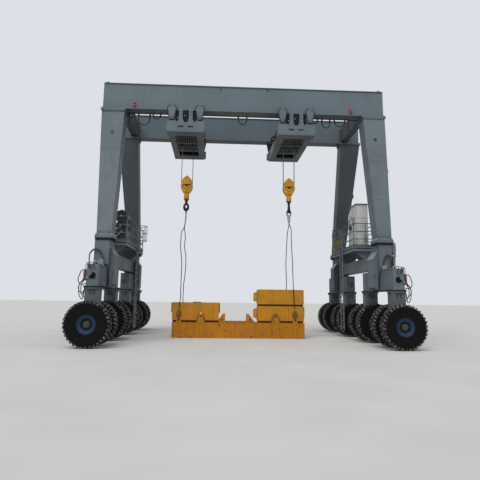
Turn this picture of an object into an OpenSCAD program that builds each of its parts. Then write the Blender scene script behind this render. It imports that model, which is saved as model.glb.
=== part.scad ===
// Rubber tyred gantry crane: a portal on eight pairs of steered wheels, with
// two trolleys hung under the long beams and a weighted lifting beam on both
// hooks. Millimetres, +Z up, X across the span, Y along the wheel rows.

/* [Portal] */
// distance between the two rows of wheels
span = 11200; // [10000:100:14000]
// height of the top of the long beams
beam_top = 11220; // [10800:20:12000]
// height of one long beam
beam_h = 1240; // [1000:10:1400]
// width of one long beam
beam_w = 430; // [380:10:520]
// distance between the centre lines of the long beams
beam_pitch = 3860; // [3600:10:4200]
// height of the bolted joint between leg and side frame
joint_z = 4080; // [3900:10:4300]
// height of the side beam's top
sill_top = 3580; // [3560:10:3700]
// height of the side beam
sill_h = 560; // [450:10:560]

/* [Wheels] */
// distance between the centres of the two wheel groups on one side
group_pitch = 6400; // [6200:50:7400]
// distance between the two steered columns of one group
column_pitch = 3100; // [2800:50:3100]
// outer diameter of a tyre
tyre_d = 1620; // [1500:10:1660]
// width of a tyre
tyre_w = 480; // [400:10:500]
// gap between the two tyres of a pair
tyre_gap = 640; // [620:10:700]
// width of a steered column
column_w = 500; // [400:10:560]
// diameter of an axle
axle_d = 180; // [140:5:200]

/* [Trolleys] */
// left trolley, distance from the middle of the span
trolley_left_x = 2640; // [2300:10:2900]
// right trolley, distance from the middle of the span
trolley_right_x = 2290; // [2200:10:2900]
// width of a trolley
trolley_w = 1660; // [1500:10:1800]
// drop from the long beams' undersides to a trolley's underside
trolley_drop = 1040; // [980:10:1080]
// depth of a trolley's frame
trolley_h = 490; // [420:10:520]
// diameter of a rope drum
drum_d = 400; // [300:10:420]
// diameter of a hoist rope
rope_d = 24; // [16:2:30]

/* [Hooks] */
// drop from a trolley's underside to the top of a hook block
rope_fall = 1395; // [1300:5:1500]
// drop from the top of a hook block to the centre of its hook's eye
hook_drop = 1555; // [1545:5:1600]

/* [Load] */
// length of the lifting beam
load_l = 5980; // [5700:20:6200]
// width of the lifting beam
load_w = 1050; // [1000:10:1200]
// height of the lifting beam
load_h = 690; // [600:10:720]
// height of the left weight
weight_left_h = 790; // [600:10:900]
// height of each of the two right weights
weight_right_h = 670; // [500:10:700]
// length of a weight
weight_l = 2110; // [1900:10:2300]
// width of a weight
weight_w = 800; // [700:10:800]
// diameter of a sling rope
sling_d = 38; // [28:2:44]

/* [Detail] */
// smoothness of the round faces
facet = 48; // [24:4:96]

/* [Hidden] */
$fn = facet;
row_x = span / 2;
beam_y = beam_pitch / 2;
beam_z = beam_top - beam_h;
beam_half = row_x + 730;
plate = 50;
flange_out = 150;
group_y = group_pitch / 2;
col_y = column_pitch / 2;
leg_in_top = row_x - 260;
leg_out_top = row_x + 730;
leg_in_low = row_x - 330;
leg_out_low = row_x + 230;
leg_y_low = group_y + 330;
leg_top_z = beam_z - 2 * plate;
fork_w = 440;
stump_w = 560;
group_w = 420;
group_z = 2150;
group_h = 780;
pin_z = 2560;
pin_d = 160;
ring_d = 720;
axle_z = tyre_d / 2;
tyre_y = (tyre_gap + tyre_w) / 2;
rim_r = 410;
run = 0.3;
trolley_z = beam_z - trolley_drop;
block_top = trolley_z - rope_fall;
hook_z = block_top - hook_drop;
hanger_y = beam_y + beam_w / 2 + flange_out + 35;
bearing_x = 450;
drum_y = -1400;
trolley_top = trolley_z + trolley_h;
drum_z = trolley_top - drum_d / 2 - 40;
floor_z = 4100;
walk_in = row_x - 680;
walk_out = row_x + 460;
walk_front_left = -2300;
walk_front_right = -1650;
walk_rear = 2300;
rail_in = walk_in + 30;
rail_out = walk_out - 30;
rail_top = 1050;
rail_rows = [350, 700, rail_top];
rail_d = 42;
floor_t = 50;
edge_h = 100;
ladder_w = 460;
ladder_rear = group_y - col_y - tyre_gap / 2 - tyre_w - 290;
ladder_front = ladder_rear - ladder_w;
cheek_in = row_x - 460;
house_in = row_x - 450;
house_out = row_x + 60;
house_front = walk_front_right + 150;
house_rear = house_front + 1400;
house_h = 1960;
load_x = -90;
load_left = load_x - load_l / 2;
load_right = load_x + load_l / 2;
skid_h = 75;
sheave_r = 265;
sheave_z = block_top - 470;
top_sheave_z = trolley_z + 265;
hook_r = 120;
hook_t = 50;
link_r = 130;
link_t = 20;
link_z = hook_z - hook_r + hook_t + run + link_t - link_r;
lug_y = load_w / 2 - 35;
lug_z = load_h + 150;
lug_t = 50;
lug_bore = 70;
eye_r = 100;
eye_t = 34;
bow_r = 48;
bow_t = 16;
ferrule_d = 60;
ferrule_h = 170;
sling_apart = 40;
top_eye_r = 58;
top_eye_z = link_z - link_r - 1;
sling_top = top_eye_z - top_eye_r + 8 - ferrule_h;
bow_z = lug_z + 110;
eye_z = bow_z + bow_r - bow_t - run + eye_r - eye_t;
sling_end = eye_z + eye_r - 8 + ferrule_h;
festoon_y = beam_y - beam_w / 2 + 5;
festoon_d = 32;
left_x = -trolley_left_x;
right_x = trolley_right_x;
// sling lugs on the lifting beam: place along it, then side
lug_left_front = [left_x - 150, -1];
lug_left_rear = [left_x, 1];
lug_right_front = [right_x + 180, -1];
lug_right_rear = [right_x - 70, 1];
sling_lugs = [lug_left_front, lug_left_rear, lug_right_front, lug_right_rear];
// how far each slack sling strays sideways from the straight line, at shares of its length
wave_left_front = [[0, 0], [0.1, -35], [0.15, -150], [0.32, -145], [0.5, -25], [0.7, 5], [0.9, 35], [1, 0]];
wave_left_rear = [[0, 0], [0.1, -60], [0.2, 0], [0.3, -40], [0.44, 50], [0.58, 40], [0.74, -30],
    [0.92, -50], [1, 0]];
wave_right_front = [[0, 0], [0.03, 45], [0.11, 115], [0.24, 70], [0.48, 45], [0.73, 0], [0.92, -15],
    [1, 0]];
wave_right_rear = [[0, 0], [0.14, -85], [0.34, -95], [0.5, -95], [0.68, -35], [0.8, -25], [1, 0]];

// Shared shapes

module box(x0, x1, y0, y1, z0, z1) {
    translate([x0, y0, z0])
        cube([x1 - x0, y1 - y0, z1 - z0]);
}

// straight-sided block between two level rectangles [x0, x1, y0, y1, z]
module taper(a, b) {
    polyhedron(
        points = [[a[0], a[2], a[4]], [a[1], a[2], a[4]], [a[1], a[3], a[4]], [a[0], a[3], a[4]],
            [b[0], b[2], b[4]], [b[1], b[2], b[4]], [b[1], b[3], b[4]], [b[0], b[3], b[4]]],
        faces = [[0, 1, 2, 3], [7, 6, 5, 4], [0, 4, 5, 1], [1, 5, 6, 2], [2, 6, 7, 3], [3, 7, 4, 0]]);
}

// round bar from point p to point q
module bar(p, q, d) {
    v = q - p;
    len = norm(v);
    translate(p)
        rotate([0, acos(v[2] / len), atan2(v[1], v[0])])
            cylinder(d = d, h = len);
}

// flat shape drawn in Y and Z, with its thickness along X from x0 to x1
module side_plate(x0, x1) {
    translate([x0, 0, 0])
        rotate([90, 0, 90])
            linear_extrude(height = x1 - x0)
                children();
}

// flat shape drawn in X and Z, with its thickness along Y from y0 to y1
module front_plate(y0, y1) {
    translate([0, y1, 0])
        rotate([90, 0, 0])
            linear_extrude(height = y1 - y0)
                children();
}

// Portal

module girder() {
    web = beam_w / 2;
    // box section
    box(-beam_half, beam_half, -beam_y - web, -beam_y + web, beam_z, beam_top - 30);
    // top plate
    box(-beam_half, beam_half, -beam_y - web - 40, -beam_y + web + 40, beam_top - 30, beam_top);
    // lower plate, whose outer lip carries the trolley wheels
    box(-beam_half, beam_half, -beam_y - web - flange_out, -beam_y + web + 40, beam_z, beam_z + 40);
    for (s = [-1, 1]) {
        // foot plate above each leg
        box(s > 0 ? leg_in_top - 40 : -leg_out_top - 40, s > 0 ? leg_out_top + 40 : -leg_in_top + 40,
            -beam_y - 420, -beam_y + 420, beam_z - plate, beam_z);
        // lifting lug
        translate([s * (beam_half - 120), 0, 0])
            front_plate(-beam_y - 30, -beam_y + 30)
                difference() {
                    union() {
                        translate([0, beam_top + 60])
                            circle(r = 90);
                        translate([-90, beam_top - 10])
                            square([180, 70]);
                    }
                    translate([0, beam_top + 70])
                        circle(r = 35);
                }
    }
}

module front_girder() {
    color("#68757C")
        girder();
}

module rear_girder() {
    color("#56616B")
        mirror([0, 1, 0])
            girder();
}

module end_ties() {
    reach = beam_y - beam_w / 2;
    color("#56616B")
        for (s = [-1, 1]) {
            mid = s * (row_x - 80);
            box(mid - 180, mid + 180, -reach + 30, reach - 30, beam_z + 60, beam_z + 760);
            for (t = [-1, 1])
                box(mid - 240, mid + 240, t > 0 ? reach - 30 : -reach, t > 0 ? reach : -reach + 30,
                    beam_z + 45, beam_z + 820);
        }
}

// front leg of the right-hand side
module leg() {
    top_pitch = (leg_out_top - leg_in_top - 80) / 7;
    gusset_pitch = (leg_out_top - leg_in_top - 220) / 3;
    low_pitch = (leg_out_low - leg_in_low + 60) / 5;
    taper([leg_in_low, leg_out_low, -leg_y_low - 340, -leg_y_low + 340, joint_z + plate],
        [leg_in_top, leg_out_top, -beam_y - 360, -beam_y + 360, leg_top_z]);
    // top flange
    box(leg_in_top - 40, leg_out_top + 40, -beam_y - 420, -beam_y + 420, leg_top_z, leg_top_z + plate);
    // lower flange
    box(leg_in_low - 60, leg_out_low + 60, -leg_y_low - 400, -leg_y_low + 400, joint_z, joint_z + plate);
    // bolts and gussets of the upper joint
    for (i = [0:7])
        for (e = [-1, 1])
            translate([leg_in_top + 40 + i * top_pitch, -beam_y + e * 392, leg_top_z - 30])
                cylinder(d = 42, h = 40, $fn = 6);
    for (i = [0:3])
        side_plate(leg_in_top + 105 + i * gusset_pitch, leg_in_top + 120 + i * gusset_pitch)
            polygon([[-beam_y - 300, leg_top_z], [-beam_y - 420, leg_top_z],
                [-beam_y - 420, leg_top_z - 30], [-beam_y - 345, leg_top_z - 170],
                [-beam_y - 300, leg_top_z - 170]]);
    // bolts and gussets of the lower joint
    for (i = [0:5])
        for (e = [-1, 1])
            translate([leg_in_low - 30 + i * low_pitch, -leg_y_low + e * 372, joint_z + plate - 5])
                cylinder(d = 42, h = 35, $fn = 6);
    for (x = [leg_in_low + 60, leg_out_low - 75])
        side_plate(x, x + 15)
            polygon([[-leg_y_low - 310, joint_z + plate - 5], [-leg_y_low - 400, joint_z + plate - 5],
                [-leg_y_low - 400, joint_z + plate + 20], [-leg_y_low - 310, joint_z + plate + 220]]);
}

module legs_right() {
    color("#6F7C82")
        for (m = [0, 1])
            mirror([0, m, 0])
                leg();
}

module legs_left() {
    color("#6F7C82")
        mirror([1, 0, 0])
            for (m = [0, 1])
                mirror([0, m, 0])
                    leg();
}

// fork that straddles one wheel group, with its pin
module stump() {
    difference() {
        side_plate(row_x - stump_w / 2, row_x + stump_w / 2)
            union() {
                polygon([[-leg_y_low - 340, joint_z - plate], [-leg_y_low + 340, joint_z - plate],
                    [-group_y + 520, sill_top], [-group_y + 520, sill_top - sill_h],
                    [-group_y + 330, pin_z], [-group_y - 330, pin_z],
                    [-leg_y_low - 340, sill_top - sill_h]]);
                translate([-group_y, pin_z])
                    circle(r = 330);
            }
        box(row_x - fork_w / 2, row_x + fork_w / 2, -group_y - 900, -group_y + 900,
            1500, group_z + group_h + 50);
    }
    translate([row_x, -group_y, pin_z])
        rotate([0, 90, 0]) {
            translate([0, 0, -stump_w / 2 - 30])
                cylinder(d = pin_d, h = stump_w + 60);
            for (s = [-1, 1])
                translate([0, 0, s * (stump_w / 2 + 15) - 15])
                    cylinder(d = pin_d + 90, h = 30);
        }
    // joint flange
    box(leg_in_low - 60, leg_out_low + 60, -leg_y_low - 400, -leg_y_low + 400, joint_z - plate, joint_z);
}

module side_frame() {
    for (m = [0, 1])
        mirror([0, m, 0])
            stump();
    box(row_x - 170, row_x + 170, -group_y + 515, group_y - 515, sill_top - sill_h, sill_top);
}

module side_frame_right() {
    color("#6F7C82")
        side_frame();
}

module side_frame_left() {
    color("#6F7C82")
        mirror([1, 0, 0])
            side_frame();
}

// walkway floor on cross beams; y0 and y1 are its front and rear ends
module platform(y0, y1) {
    box(walk_in, walk_out, y0, y1, floor_z - floor_t, floor_z);
    // cross beams
    for (y = [y0 + 250, (y0 + y1) / 2, y1 - 250])
        box(walk_in + 40, walk_out - 40, y - 50, y + 50, floor_z - 200, floor_z - floor_t);
    // edge beams below the floor's edge
    for (x = [walk_in, walk_out - 40])
        box(x, x + 40, y0, y1, floor_z - 200, floor_z - 200 + edge_h);
    for (y = [y0, y1 - 40])
        box(walk_in + 40, walk_out - 40, y, y + 40, floor_z - 200, floor_z - 200 + edge_h);
    // short hangers between the floor and its edge beams
    for (x = [walk_in + 10, walk_out - 30])
        for (y = [y0, (y0 + y1) / 2, y1 - 60])
            box(x, x + 20, y, y + 60, floor_z - 200 + edge_h, floor_z - floor_t);
    // stools on the side beam
    for (y = [y0 + 250, y1 - 250])
        box(row_x - 120, row_x + 120, y - 50, y + 50, sill_top, floor_z - 200);
}

module platforms() {
    color("#5C676D") {
        platform(walk_front_right, walk_rear);
        mirror([1, 0, 0])
            platform(walk_front_left, walk_rear);
    }
}

// straight run of rails along Y with a post at each place in posts
module rail_along(x, y0, y1, posts) {
    for (z = rail_rows)
        bar([x, y0, floor_z + z], [x, y1, floor_z + z], rail_d);
    for (y = posts)
        translate([x, y, floor_z])
            cylinder(d = rail_d, h = rail_top);
}

// end rails between the corner posts, with one post of their own
module rail_across(y) {
    for (z = rail_rows)
        bar([rail_in + rail_d / 2 + run, y, floor_z + z], [rail_out - rail_d / 2 - run, y, floor_z + z], rail_d);
    translate([(rail_in + rail_out) / 2, y, floor_z])
        cylinder(d = rail_d, h = rail_top);
}

// rails round one walkway, open where the ladder comes up
module railing(y0, y1) {
    rail_along(rail_out, y0, y1, [y0, (y0 + y1) / 2, y1]);
    rail_along(rail_in, y0, ladder_front - 130, [y0, ladder_front - 130]);
    rail_along(rail_in, ladder_rear + 130, y1, [ladder_rear + 130, y1]);
    rail_across(y0);
    rail_across(y1);
}

module railings() {
    color("#5C676D") {
        railing(walk_front_right + 30, walk_rear - 30);
        mirror([1, 0, 0])
            railing(walk_front_left + 30, walk_rear - 30);
    }
}

// ladder from knee height to above the floor of a walkway
module ladder() {
    x = walk_in - 40;
    for (y = [ladder_front, ladder_rear])
        bar([x, y, 380], [x, y, floor_z + 1000], 50);
    for (z = [500:300:floor_z - 100])
        bar([x, ladder_front, z], [x, ladder_rear, z], 30);
    // brackets to the walkway's edge
    for (y = [ladder_front, ladder_rear])
        box(x - 10, walk_in, y - 25, y + 25, floor_z - 50, floor_z - 10);
}

module ladders() {
    color("#4A5257")
        for (m = [0, 1])
            mirror([m, 0, 0])
                ladder();
}

module power_cabinet() {
    slope = 320;
    slope_y = house_rear - 600;
    color("#B7B6AE") {
        // plinth
        box(house_in + 20, house_out, house_front + 20, house_rear - 20, floor_z, floor_z + 60);
        side_plate(house_in, house_out)
            polygon([[house_front, floor_z + 60], [house_rear, floor_z + 60],
                [house_rear, floor_z + house_h - slope], [slope_y, floor_z + house_h],
                [house_front, floor_z + house_h]]);
        // roof sheet with eaves
        side_plate(house_in - 45, house_out + 20)
            polygon([[house_front - 45, floor_z + house_h], [slope_y + 10, floor_z + house_h],
                [slope_y + 10, floor_z + house_h + 25], [house_front - 45, floor_z + house_h + 25]]);
        // door on the inner side, with its frame and a hooded vent
        box(house_in - 14, house_in, house_front + 160, house_front + 800, floor_z + 100, floor_z + 1600);
        box(house_in - 24, house_in - 14, house_front + 210, house_front + 750, floor_z + 150, floor_z + 1550);
        box(house_in - 60, house_in, house_front + 900, house_front + 1150, floor_z + 1150, floor_z + 1350);
        // locker at the rear end of the walkway
        box(walk_in + 60, walk_in + 430, walk_rear - 400, walk_rear - 60, floor_z, floor_z + 680);
    }
}

module drive_unit() {
    unit_x = -row_x + 220;
    color("#2B2D2F") {
        // skid with the pump housing
        box(unit_x - 280, unit_x + 300, -1700, -500, floor_z, floor_z + 90);
        box(unit_x - 240, unit_x + 260, -1640, -560, floor_z + 90, floor_z + 600);
        // two tanks with rims, on a saddle frame
        for (t = [[floor_z + 760, 200], [floor_z + 1180, 260]])
            translate([unit_x, -600, t[0]])
                rotate([90, 0, 0]) {
                    cylinder(r = t[1], h = 900);
                    for (z = [0, 860])
                        translate([0, 0, z])
                            cylinder(r = t[1] + 18, h = 40);
                }
        for (y = [-1350, -850])
            box(unit_x - 110, unit_x + 110, y - 40, y + 40, floor_z + 590, floor_z + 1000);
    }
}

module control_boxes() {
    cheek_out = row_x - stump_w / 2;
    color("#A9A9A1")
        // cabinets with slanted tops on the inner faces of the four forks
        for (s = [0, 1])
            mirror([s, 0, 0])
                for (m = [0, 1])
                    mirror([0, m, 0])
                        difference() {
                            front_plate(-group_y - 400, -group_y + 350)
                                polygon([[cheek_in, 2260], [cheek_in + 80, 2190], [cheek_out, 2190],
                                    [cheek_out, 3660], [cheek_in, 3390]]);
                            // room for the fork pin's cap
                            translate([cheek_out - 40, -group_y, pin_z])
                                rotate([0, 90, 0])
                                    cylinder(d = pin_d + 110, h = 80);
                        }
}

module festoon_cable() {
    rail_z = beam_z - 20;
    // hanging loops: place along the beam, width, drop
    loops = [[-row_x + 470, 284, 60], [-row_x + 1050, 540, 250], [-row_x + 1610, 360, 40],
        [-90, 414, 150], [row_x - 2370, 330, 50], [row_x - 1830, 397, 200], [row_x - 1185, 517, 60]];
    color("#1C1D1F") {
        // rail under the inner edge of the front girder
        box(-row_x + 330, row_x - 330, -festoon_y - 15, -festoon_y + 15, rail_z, beam_z);
        for (c = loops) {
            r = c[1] / 2 - 10;
            for (s = [-1, 1])
                translate([c[0] + s * r, -festoon_y, rail_z - c[2]])
                    cylinder(d = festoon_d, h = c[2] + 10);
            translate([c[0], -festoon_y, rail_z - c[2]])
                intersection() {
                    rotate([90, 0, 0])
                        rotate_extrude($fn = 32)
                            translate([r, 0])
                                circle(d = festoon_d, $fn = 12);
                    box(-c[1], c[1], -50, 50, -c[1], 0);
                }
        }
    }
}

// Wheel groups

module bogie(x, y) {
    color("#6F7C82")
        translate([x, y, 0]) {
            difference() {
                box(-group_w / 2, group_w / 2, -col_y - 300, col_y + 300, group_z, group_z + group_h);
                // bore for the fork's pin
                translate([-group_w, 0, pin_z])
                    rotate([0, 90, 0])
                        cylinder(d = pin_d + 2 * run, h = group_w * 2);
                // round openings in the ends
                for (s = [-1, 1])
                    translate([0, s * (col_y + 300), pin_z - 50])
                        rotate([90, 0, 0])
                            cylinder(d = 250, h = 160, center = true);
            }
            for (s = [-1, 1])
                translate([0, s * col_y, group_z - 55])
                    cylinder(d = ring_d, h = 55);
        }
}

module bogie_front_left() {
    bogie(-row_x, -group_y);
}

module bogie_front_right() {
    bogie(row_x, -group_y);
}

module bogie_rear_left() {
    bogie(-row_x, group_y);
}

module bogie_rear_right() {
    bogie(row_x, group_y);
}

module column(x, y) {
    w = column_w / 2;
    foot = axle_z + 640;
    color("#6F7C82")
        translate([x, y, 0])
            difference() {
                union() {
                    translate([0, 0, group_z - 115])
                        cylinder(d = ring_d - 40, h = 60 - run);
                    // box column, narrowing into the stem between the tyres
                    box(-w, w, -w, w, foot, group_z - 110);
                    taper([-200, 200, -150, 150, foot - 100], [-w, w, -w, w, foot + 1]);
                    box(-200, 200, -150, 150, axle_z, foot - 99);
                    translate([0, 150, axle_z])
                        rotate([90, 0, 0])
                            cylinder(d = 400, h = 300);
                    // bearing hubs beside the stem
                    translate([0, 170, axle_z])
                        rotate([90, 0, 0])
                            cylinder(d = 320, h = 340);
                }
                translate([0, 200, axle_z])
                    rotate([90, 0, 0])
                        cylinder(d = axle_d + 2 * run, h = 400);
            }
}

module tyre_pair(x, y) {
    r = tyre_d / 2;
    h = tyre_w / 2;
    // one half of the section, from the bead to the tread
    side = [[rim_r + run, h - 40], [rim_r + 90, h - 6], [r - 170, h], [r - 50, h - 18], [r, h - 55]];
    color("#222224")
        translate([x, y, axle_z])
            for (s = [-1, 1])
                translate([0, s * tyre_y, 0])
                    rotate([90, 0, 0])
                        rotate_extrude()
                            polygon(concat([for (p = side) [p[0], -p[1]]],
                                [for (i = [len(side) - 1:-1:0]) side[i]]));
}

module rim_pair(x, y) {
    h = tyre_w / 2 - 30;
    color("#1C3A66")
        translate([x, y, axle_z]) {
            rotate([90, 0, 0])
                cylinder(d = axle_d, h = 2 * (tyre_y + h - 145), center = true);
            for (s = [-1, 1])
                translate([0, s * tyre_y, 0])
                    rotate([s > 0 ? -90 : 90, 0, 0])
                        rotate_extrude()
                            polygon([[0, h - 130], [0, h - 40], [155, h - 40], [155, h - 90], [250, h - 90],
                                [262, h - 30], [rim_r - 10, h], [rim_r, h], [rim_r, -h], [rim_r - 30, -h],
                                [rim_r - 30, h - 160], [0, h - 160]]);
        }
}

module column_l1() {
    column(-row_x, -group_y - col_y);
}

module column_l2() {
    column(-row_x, -group_y + col_y);
}

module column_l3() {
    column(-row_x, group_y - col_y);
}

module column_l4() {
    column(-row_x, group_y + col_y);
}

module column_r1() {
    column(row_x, -group_y - col_y);
}

module column_r2() {
    column(row_x, -group_y + col_y);
}

module column_r3() {
    column(row_x, group_y - col_y);
}

module column_r4() {
    column(row_x, group_y + col_y);
}

module tyres_l1() {
    tyre_pair(-row_x, -group_y - col_y);
}

module tyres_l2() {
    tyre_pair(-row_x, -group_y + col_y);
}

module tyres_l3() {
    tyre_pair(-row_x, group_y - col_y);
}

module tyres_l4() {
    tyre_pair(-row_x, group_y + col_y);
}

module tyres_r1() {
    tyre_pair(row_x, -group_y - col_y);
}

module tyres_r2() {
    tyre_pair(row_x, -group_y + col_y);
}

module tyres_r3() {
    tyre_pair(row_x, group_y - col_y);
}

module tyres_r4() {
    tyre_pair(row_x, group_y + col_y);
}

module rims_l1() {
    rim_pair(-row_x, -group_y - col_y);
}

module rims_l2() {
    rim_pair(-row_x, -group_y + col_y);
}

module rims_l3() {
    rim_pair(-row_x, group_y - col_y);
}

module rims_l4() {
    rim_pair(-row_x, group_y + col_y);
}

module rims_r1() {
    rim_pair(row_x, -group_y - col_y);
}

module rims_r2() {
    rim_pair(row_x, -group_y + col_y);
}

module rims_r3() {
    rim_pair(row_x, group_y - col_y);
}

module rims_r4() {
    rim_pair(row_x, group_y + col_y);
}

// Trolleys

// hanger side plate: round top around the wheel, narrower foot with the pin
module hanger_plate(e) {
    front_plate(e > 0 ? hanger_y : -hanger_y - 40, e > 0 ? hanger_y + 40 : -hanger_y)
        hull() {
            translate([0, beam_z + 36])
                circle(d = 420);
            translate([0, trolley_top + 190])
                circle(d = 270);
        }
}

// front or rear end beam with its two upright guides
module trolley_end(e, low) {
    half = trolley_w / 2;
    shelf = trolley_top - 30;
    guide = beam_z + 80;
    // one half of the outline, from the outer lower corner to the middle
    side = [[half, low], [half, shelf + 60], [420, shelf + 60], [370, shelf], [305, shelf], [305, guide - 50],
        [265, guide], [175, guide], [135, guide - 50], [135, shelf]];
    front_plate(e > 0 ? hanger_y : -hanger_y - 40, e > 0 ? hanger_y + 40 : -hanger_y)
        difference() {
            polygon(concat(side, [for (i = [len(side) - 1:-1:0]) [-side[i][0], side[i][1]]]));
            for (s = [-1, 1])
                translate([s * 220, trolley_top - 230])
                    square([235, 50], center = true);
        }
    box(-half, half, e > 0 ? 1890 : -hanger_y - 10, e > 0 ? hanger_y + 10 : -1830, low, low + 250);
}

module trolley(x) {
    half = trolley_w / 2;
    web_out = half - 110;
    web_in = half - 300;
    flange_x = (web_out + web_in) / 2;
    deck_hole = 330;
    deck_front = -1620;
    deck_z = trolley_top + 20;
    color("#4E565B")
        translate([x, 0, 0]) {
            trolley_end(-1, trolley_z);
            trolley_end(1, trolley_z + 200);
            for (s = [-1, 1]) {
                // side beams, set in from the end beams
                box(s * flange_x - 140, s * flange_x + 140, -hanger_y, 1890, trolley_z, trolley_z + 60);
                box(s * web_out - 20, s * web_out + 20, -hanger_y, 1890, trolley_z, trolley_top - 60);
                box(s * web_in - 20, s * web_in + 20, -hanger_y, 1890, trolley_z, trolley_top - 60);
                box(s * web_out - 20, s * web_out + 20, 1880, hanger_y, trolley_z + 200, trolley_top - 60);
                // stiffeners under the deck, which stays clear of the cable loops
                box(s * web_out - 20, s * web_out + 20, deck_front, 1880, trolley_top - 60, trolley_top);
                // deck beside the opening for the upper sheaves
                box(s > 0 ? deck_hole : -web_out - 20, s > 0 ? web_out + 20 : -deck_hole,
                    -deck_hole, deck_hole, trolley_top, deck_z);
            }
            for (c = [[deck_front, -deck_hole], [deck_hole, 1880]])
                box(-web_out - 20, web_out + 20, c[0], c[1], trolley_top, deck_z);
            // hoist gearbox and motor on the deck
            box(-480, -140, -1500, -760, deck_z, deck_z + 300);
            translate([-140, -1130, deck_z + 190])
                rotate([0, 90, 0]) {
                    cylinder(d = 330, h = 430);
                    translate([0, 0, 430])
                        cylinder(d = 270, h = 90);
                }
            for (px = [0, 220])
                box(px - 30, px + 30, -1280, -980, deck_z, deck_z + 90);
            // cross beams
            for (c = [[-1030, -740], [200, 540], [1300, 1900]])
                box(-web_in, web_in, c[0], c[1], trolley_z, trolley_z + 60);
            for (y = [-1000, 500, 1340])
                box(-web_in, web_in, y - 20, y + 20, trolley_z, trolley_z + 200);
            // bearing blocks of the drum and the upper sheaves
            for (s = [-1, 1]) {
                box(s * (bearing_x + 40) - 40, s * (bearing_x + 40) + 40, drum_y - 100, drum_y + 100,
                    trolley_z + 50, drum_z + 80);
                box(-60, 60, s * 160 - 20, s * 160 + 20, trolley_z + 50, top_sheave_z + 60);
            }
            box(-web_in, web_in, -180, -140, trolley_z, trolley_z + 90);
            box(-web_in, web_in, 140, 200, trolley_z, trolley_z + 60);
            for (e = [-1, 1])
                for (s = [-1, 1])
                    translate([s * 620, 0, 0]) {
                        hanger_plate(e);
                        // wheel on the lower plate's lip, and its axle
                        translate([0, e * (hanger_y - 60), beam_z + 40 + 110 + run])
                            rotate([90, 0, 0])
                                cylinder(d = 220, h = 90, center = true);
                        translate([0, e * (hanger_y - 10), beam_z + 40 + 110 + run])
                            rotate([90, 0, 0])
                                cylinder(d = 80, h = 40, center = true);
                        // foot pin
                        translate([0, e * (hanger_y + 50), trolley_top + 190])
                            rotate([90, 0, 0])
                                cylinder(d = 90, h = 60, center = true);
                        // link down to the end beam
                        box(-110, 110, e > 0 ? hanger_y - 120 : -hanger_y, e > 0 ? hanger_y : -hanger_y + 120,
                            trolley_z + 240, trolley_top + 240);
                    }
        }
}

module trolley_left() {
    trolley(left_x);
}

module trolley_right() {
    trolley(right_x);
}

// grooved rope sheave, axis along Y; its groove carries a rope at sheave_r
module sheave(w) {
    rotate([90, 0, 0])
        rotate_extrude()
            polygon([[0, -w / 2], [sheave_r + 18, -w / 2], [sheave_r + 18, 4 - w / 2],
                [sheave_r - rope_d / 2 - run, 2 - rope_d / 2], [sheave_r - rope_d / 2 - run, rope_d / 2 - 2],
                [sheave_r + 18, w / 2 - 4], [sheave_r + 18, w / 2], [0, w / 2]]);
}

module drum(x) {
    pitch = 50;
    n = 15;
    color("#3A3D40")
        translate([x, 0, 0]) {
            // drum with its grooves and two flanges
            translate([-n * pitch / 2, drum_y, drum_z])
                rotate([0, 90, 0])
                    rotate_extrude()
                        polygon(concat([[0, 0]],
                            [for (i = [0:2 * n]) [drum_d / 2 - (i % 2 == 0 ? 0 : 18), i * pitch / 2]],
                            [[0, n * pitch]]));
            translate([-bearing_x + run, drum_y, drum_z])
                rotate([0, 90, 0])
                    cylinder(d = 90, h = 2 * (bearing_x - run));
            for (s = [-1, 1])
                translate([s * (n * pitch / 2 + 15) - 15, drum_y, drum_z])
                    rotate([0, 90, 0])
                        cylinder(d = drum_d + 70, h = 30);
            // upper sheaves on one axle
            for (s = [-1, 1])
                translate([0, s * 60, top_sheave_z])
                    sheave(60);
            translate([0, 0, top_sheave_z])
                rotate([90, 0, 0])
                    cylinder(d = 90, h = 280, center = true);
        }
}

module drum_left() {
    drum(left_x);
}

module drum_right() {
    drum(right_x);
}

// four rope falls between the upper sheaves and the hook block's sheaves
module ropes(x) {
    color("#2A2A2A")
        for (s = [-1, 1])
            for (y = [-60, 60])
                translate([x + s * sheave_r, y, sheave_z])
                    cylinder(d = rope_d, h = top_sheave_z - sheave_z);
}

module ropes_left() {
    ropes(left_x);
}

module ropes_right() {
    ropes(right_x);
}

// hook block: pointed cheeks around two sheaves, a crosshead and a shank
module block(x) {
    z = sheave_z;
    foot = block_top - 815;
    // one half of a cheek's outline, from the top down
    side = [[30, block_top], [150, block_top - 110], [225, block_top - 200], [262, z + 110], [287, z],
        [262, z - 130], [157, foot]];
    color("#C8922A")
        translate([x, 0, 0]) {
            difference() {
                for (s = [-1, 1])
                    front_plate(s * 115 - 15, s * 115 + 15)
                        polygon(concat(side, [for (i = [len(side) - 1:-1:0]) [-side[i][0], side[i][1]]]));
                // two slots that slant towards each other
                for (s = [-1, 1])
                    front_plate(-200, 200)
                        polygon([[s * 25, z - 175], [s * 85, z - 150], [s * 165, z + 120], [s * 125, z + 150],
                            [s * 85, z + 130]]);
            }
            // cheek spacers clear of the sheaves
            box(-60, 60, -110, 110, block_top - 110, block_top - 20);
            // sheaves and their axle
            for (s = [-1, 1])
                translate([0, s * 60, z])
                    sheave(60);
            translate([0, 0, z])
                rotate([90, 0, 0])
                    cylinder(d = 110, h = 300, center = true);
            // crosshead, shank and collar
            box(-140, 140, -110, 110, foot - 35, foot + 45);
            translate([0, 0, block_top - 1145])
                cylinder(d = 248, h = 300);
        }
}

module block_left() {
    block(left_x);
}

module block_right() {
    block(right_x);
}

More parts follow.
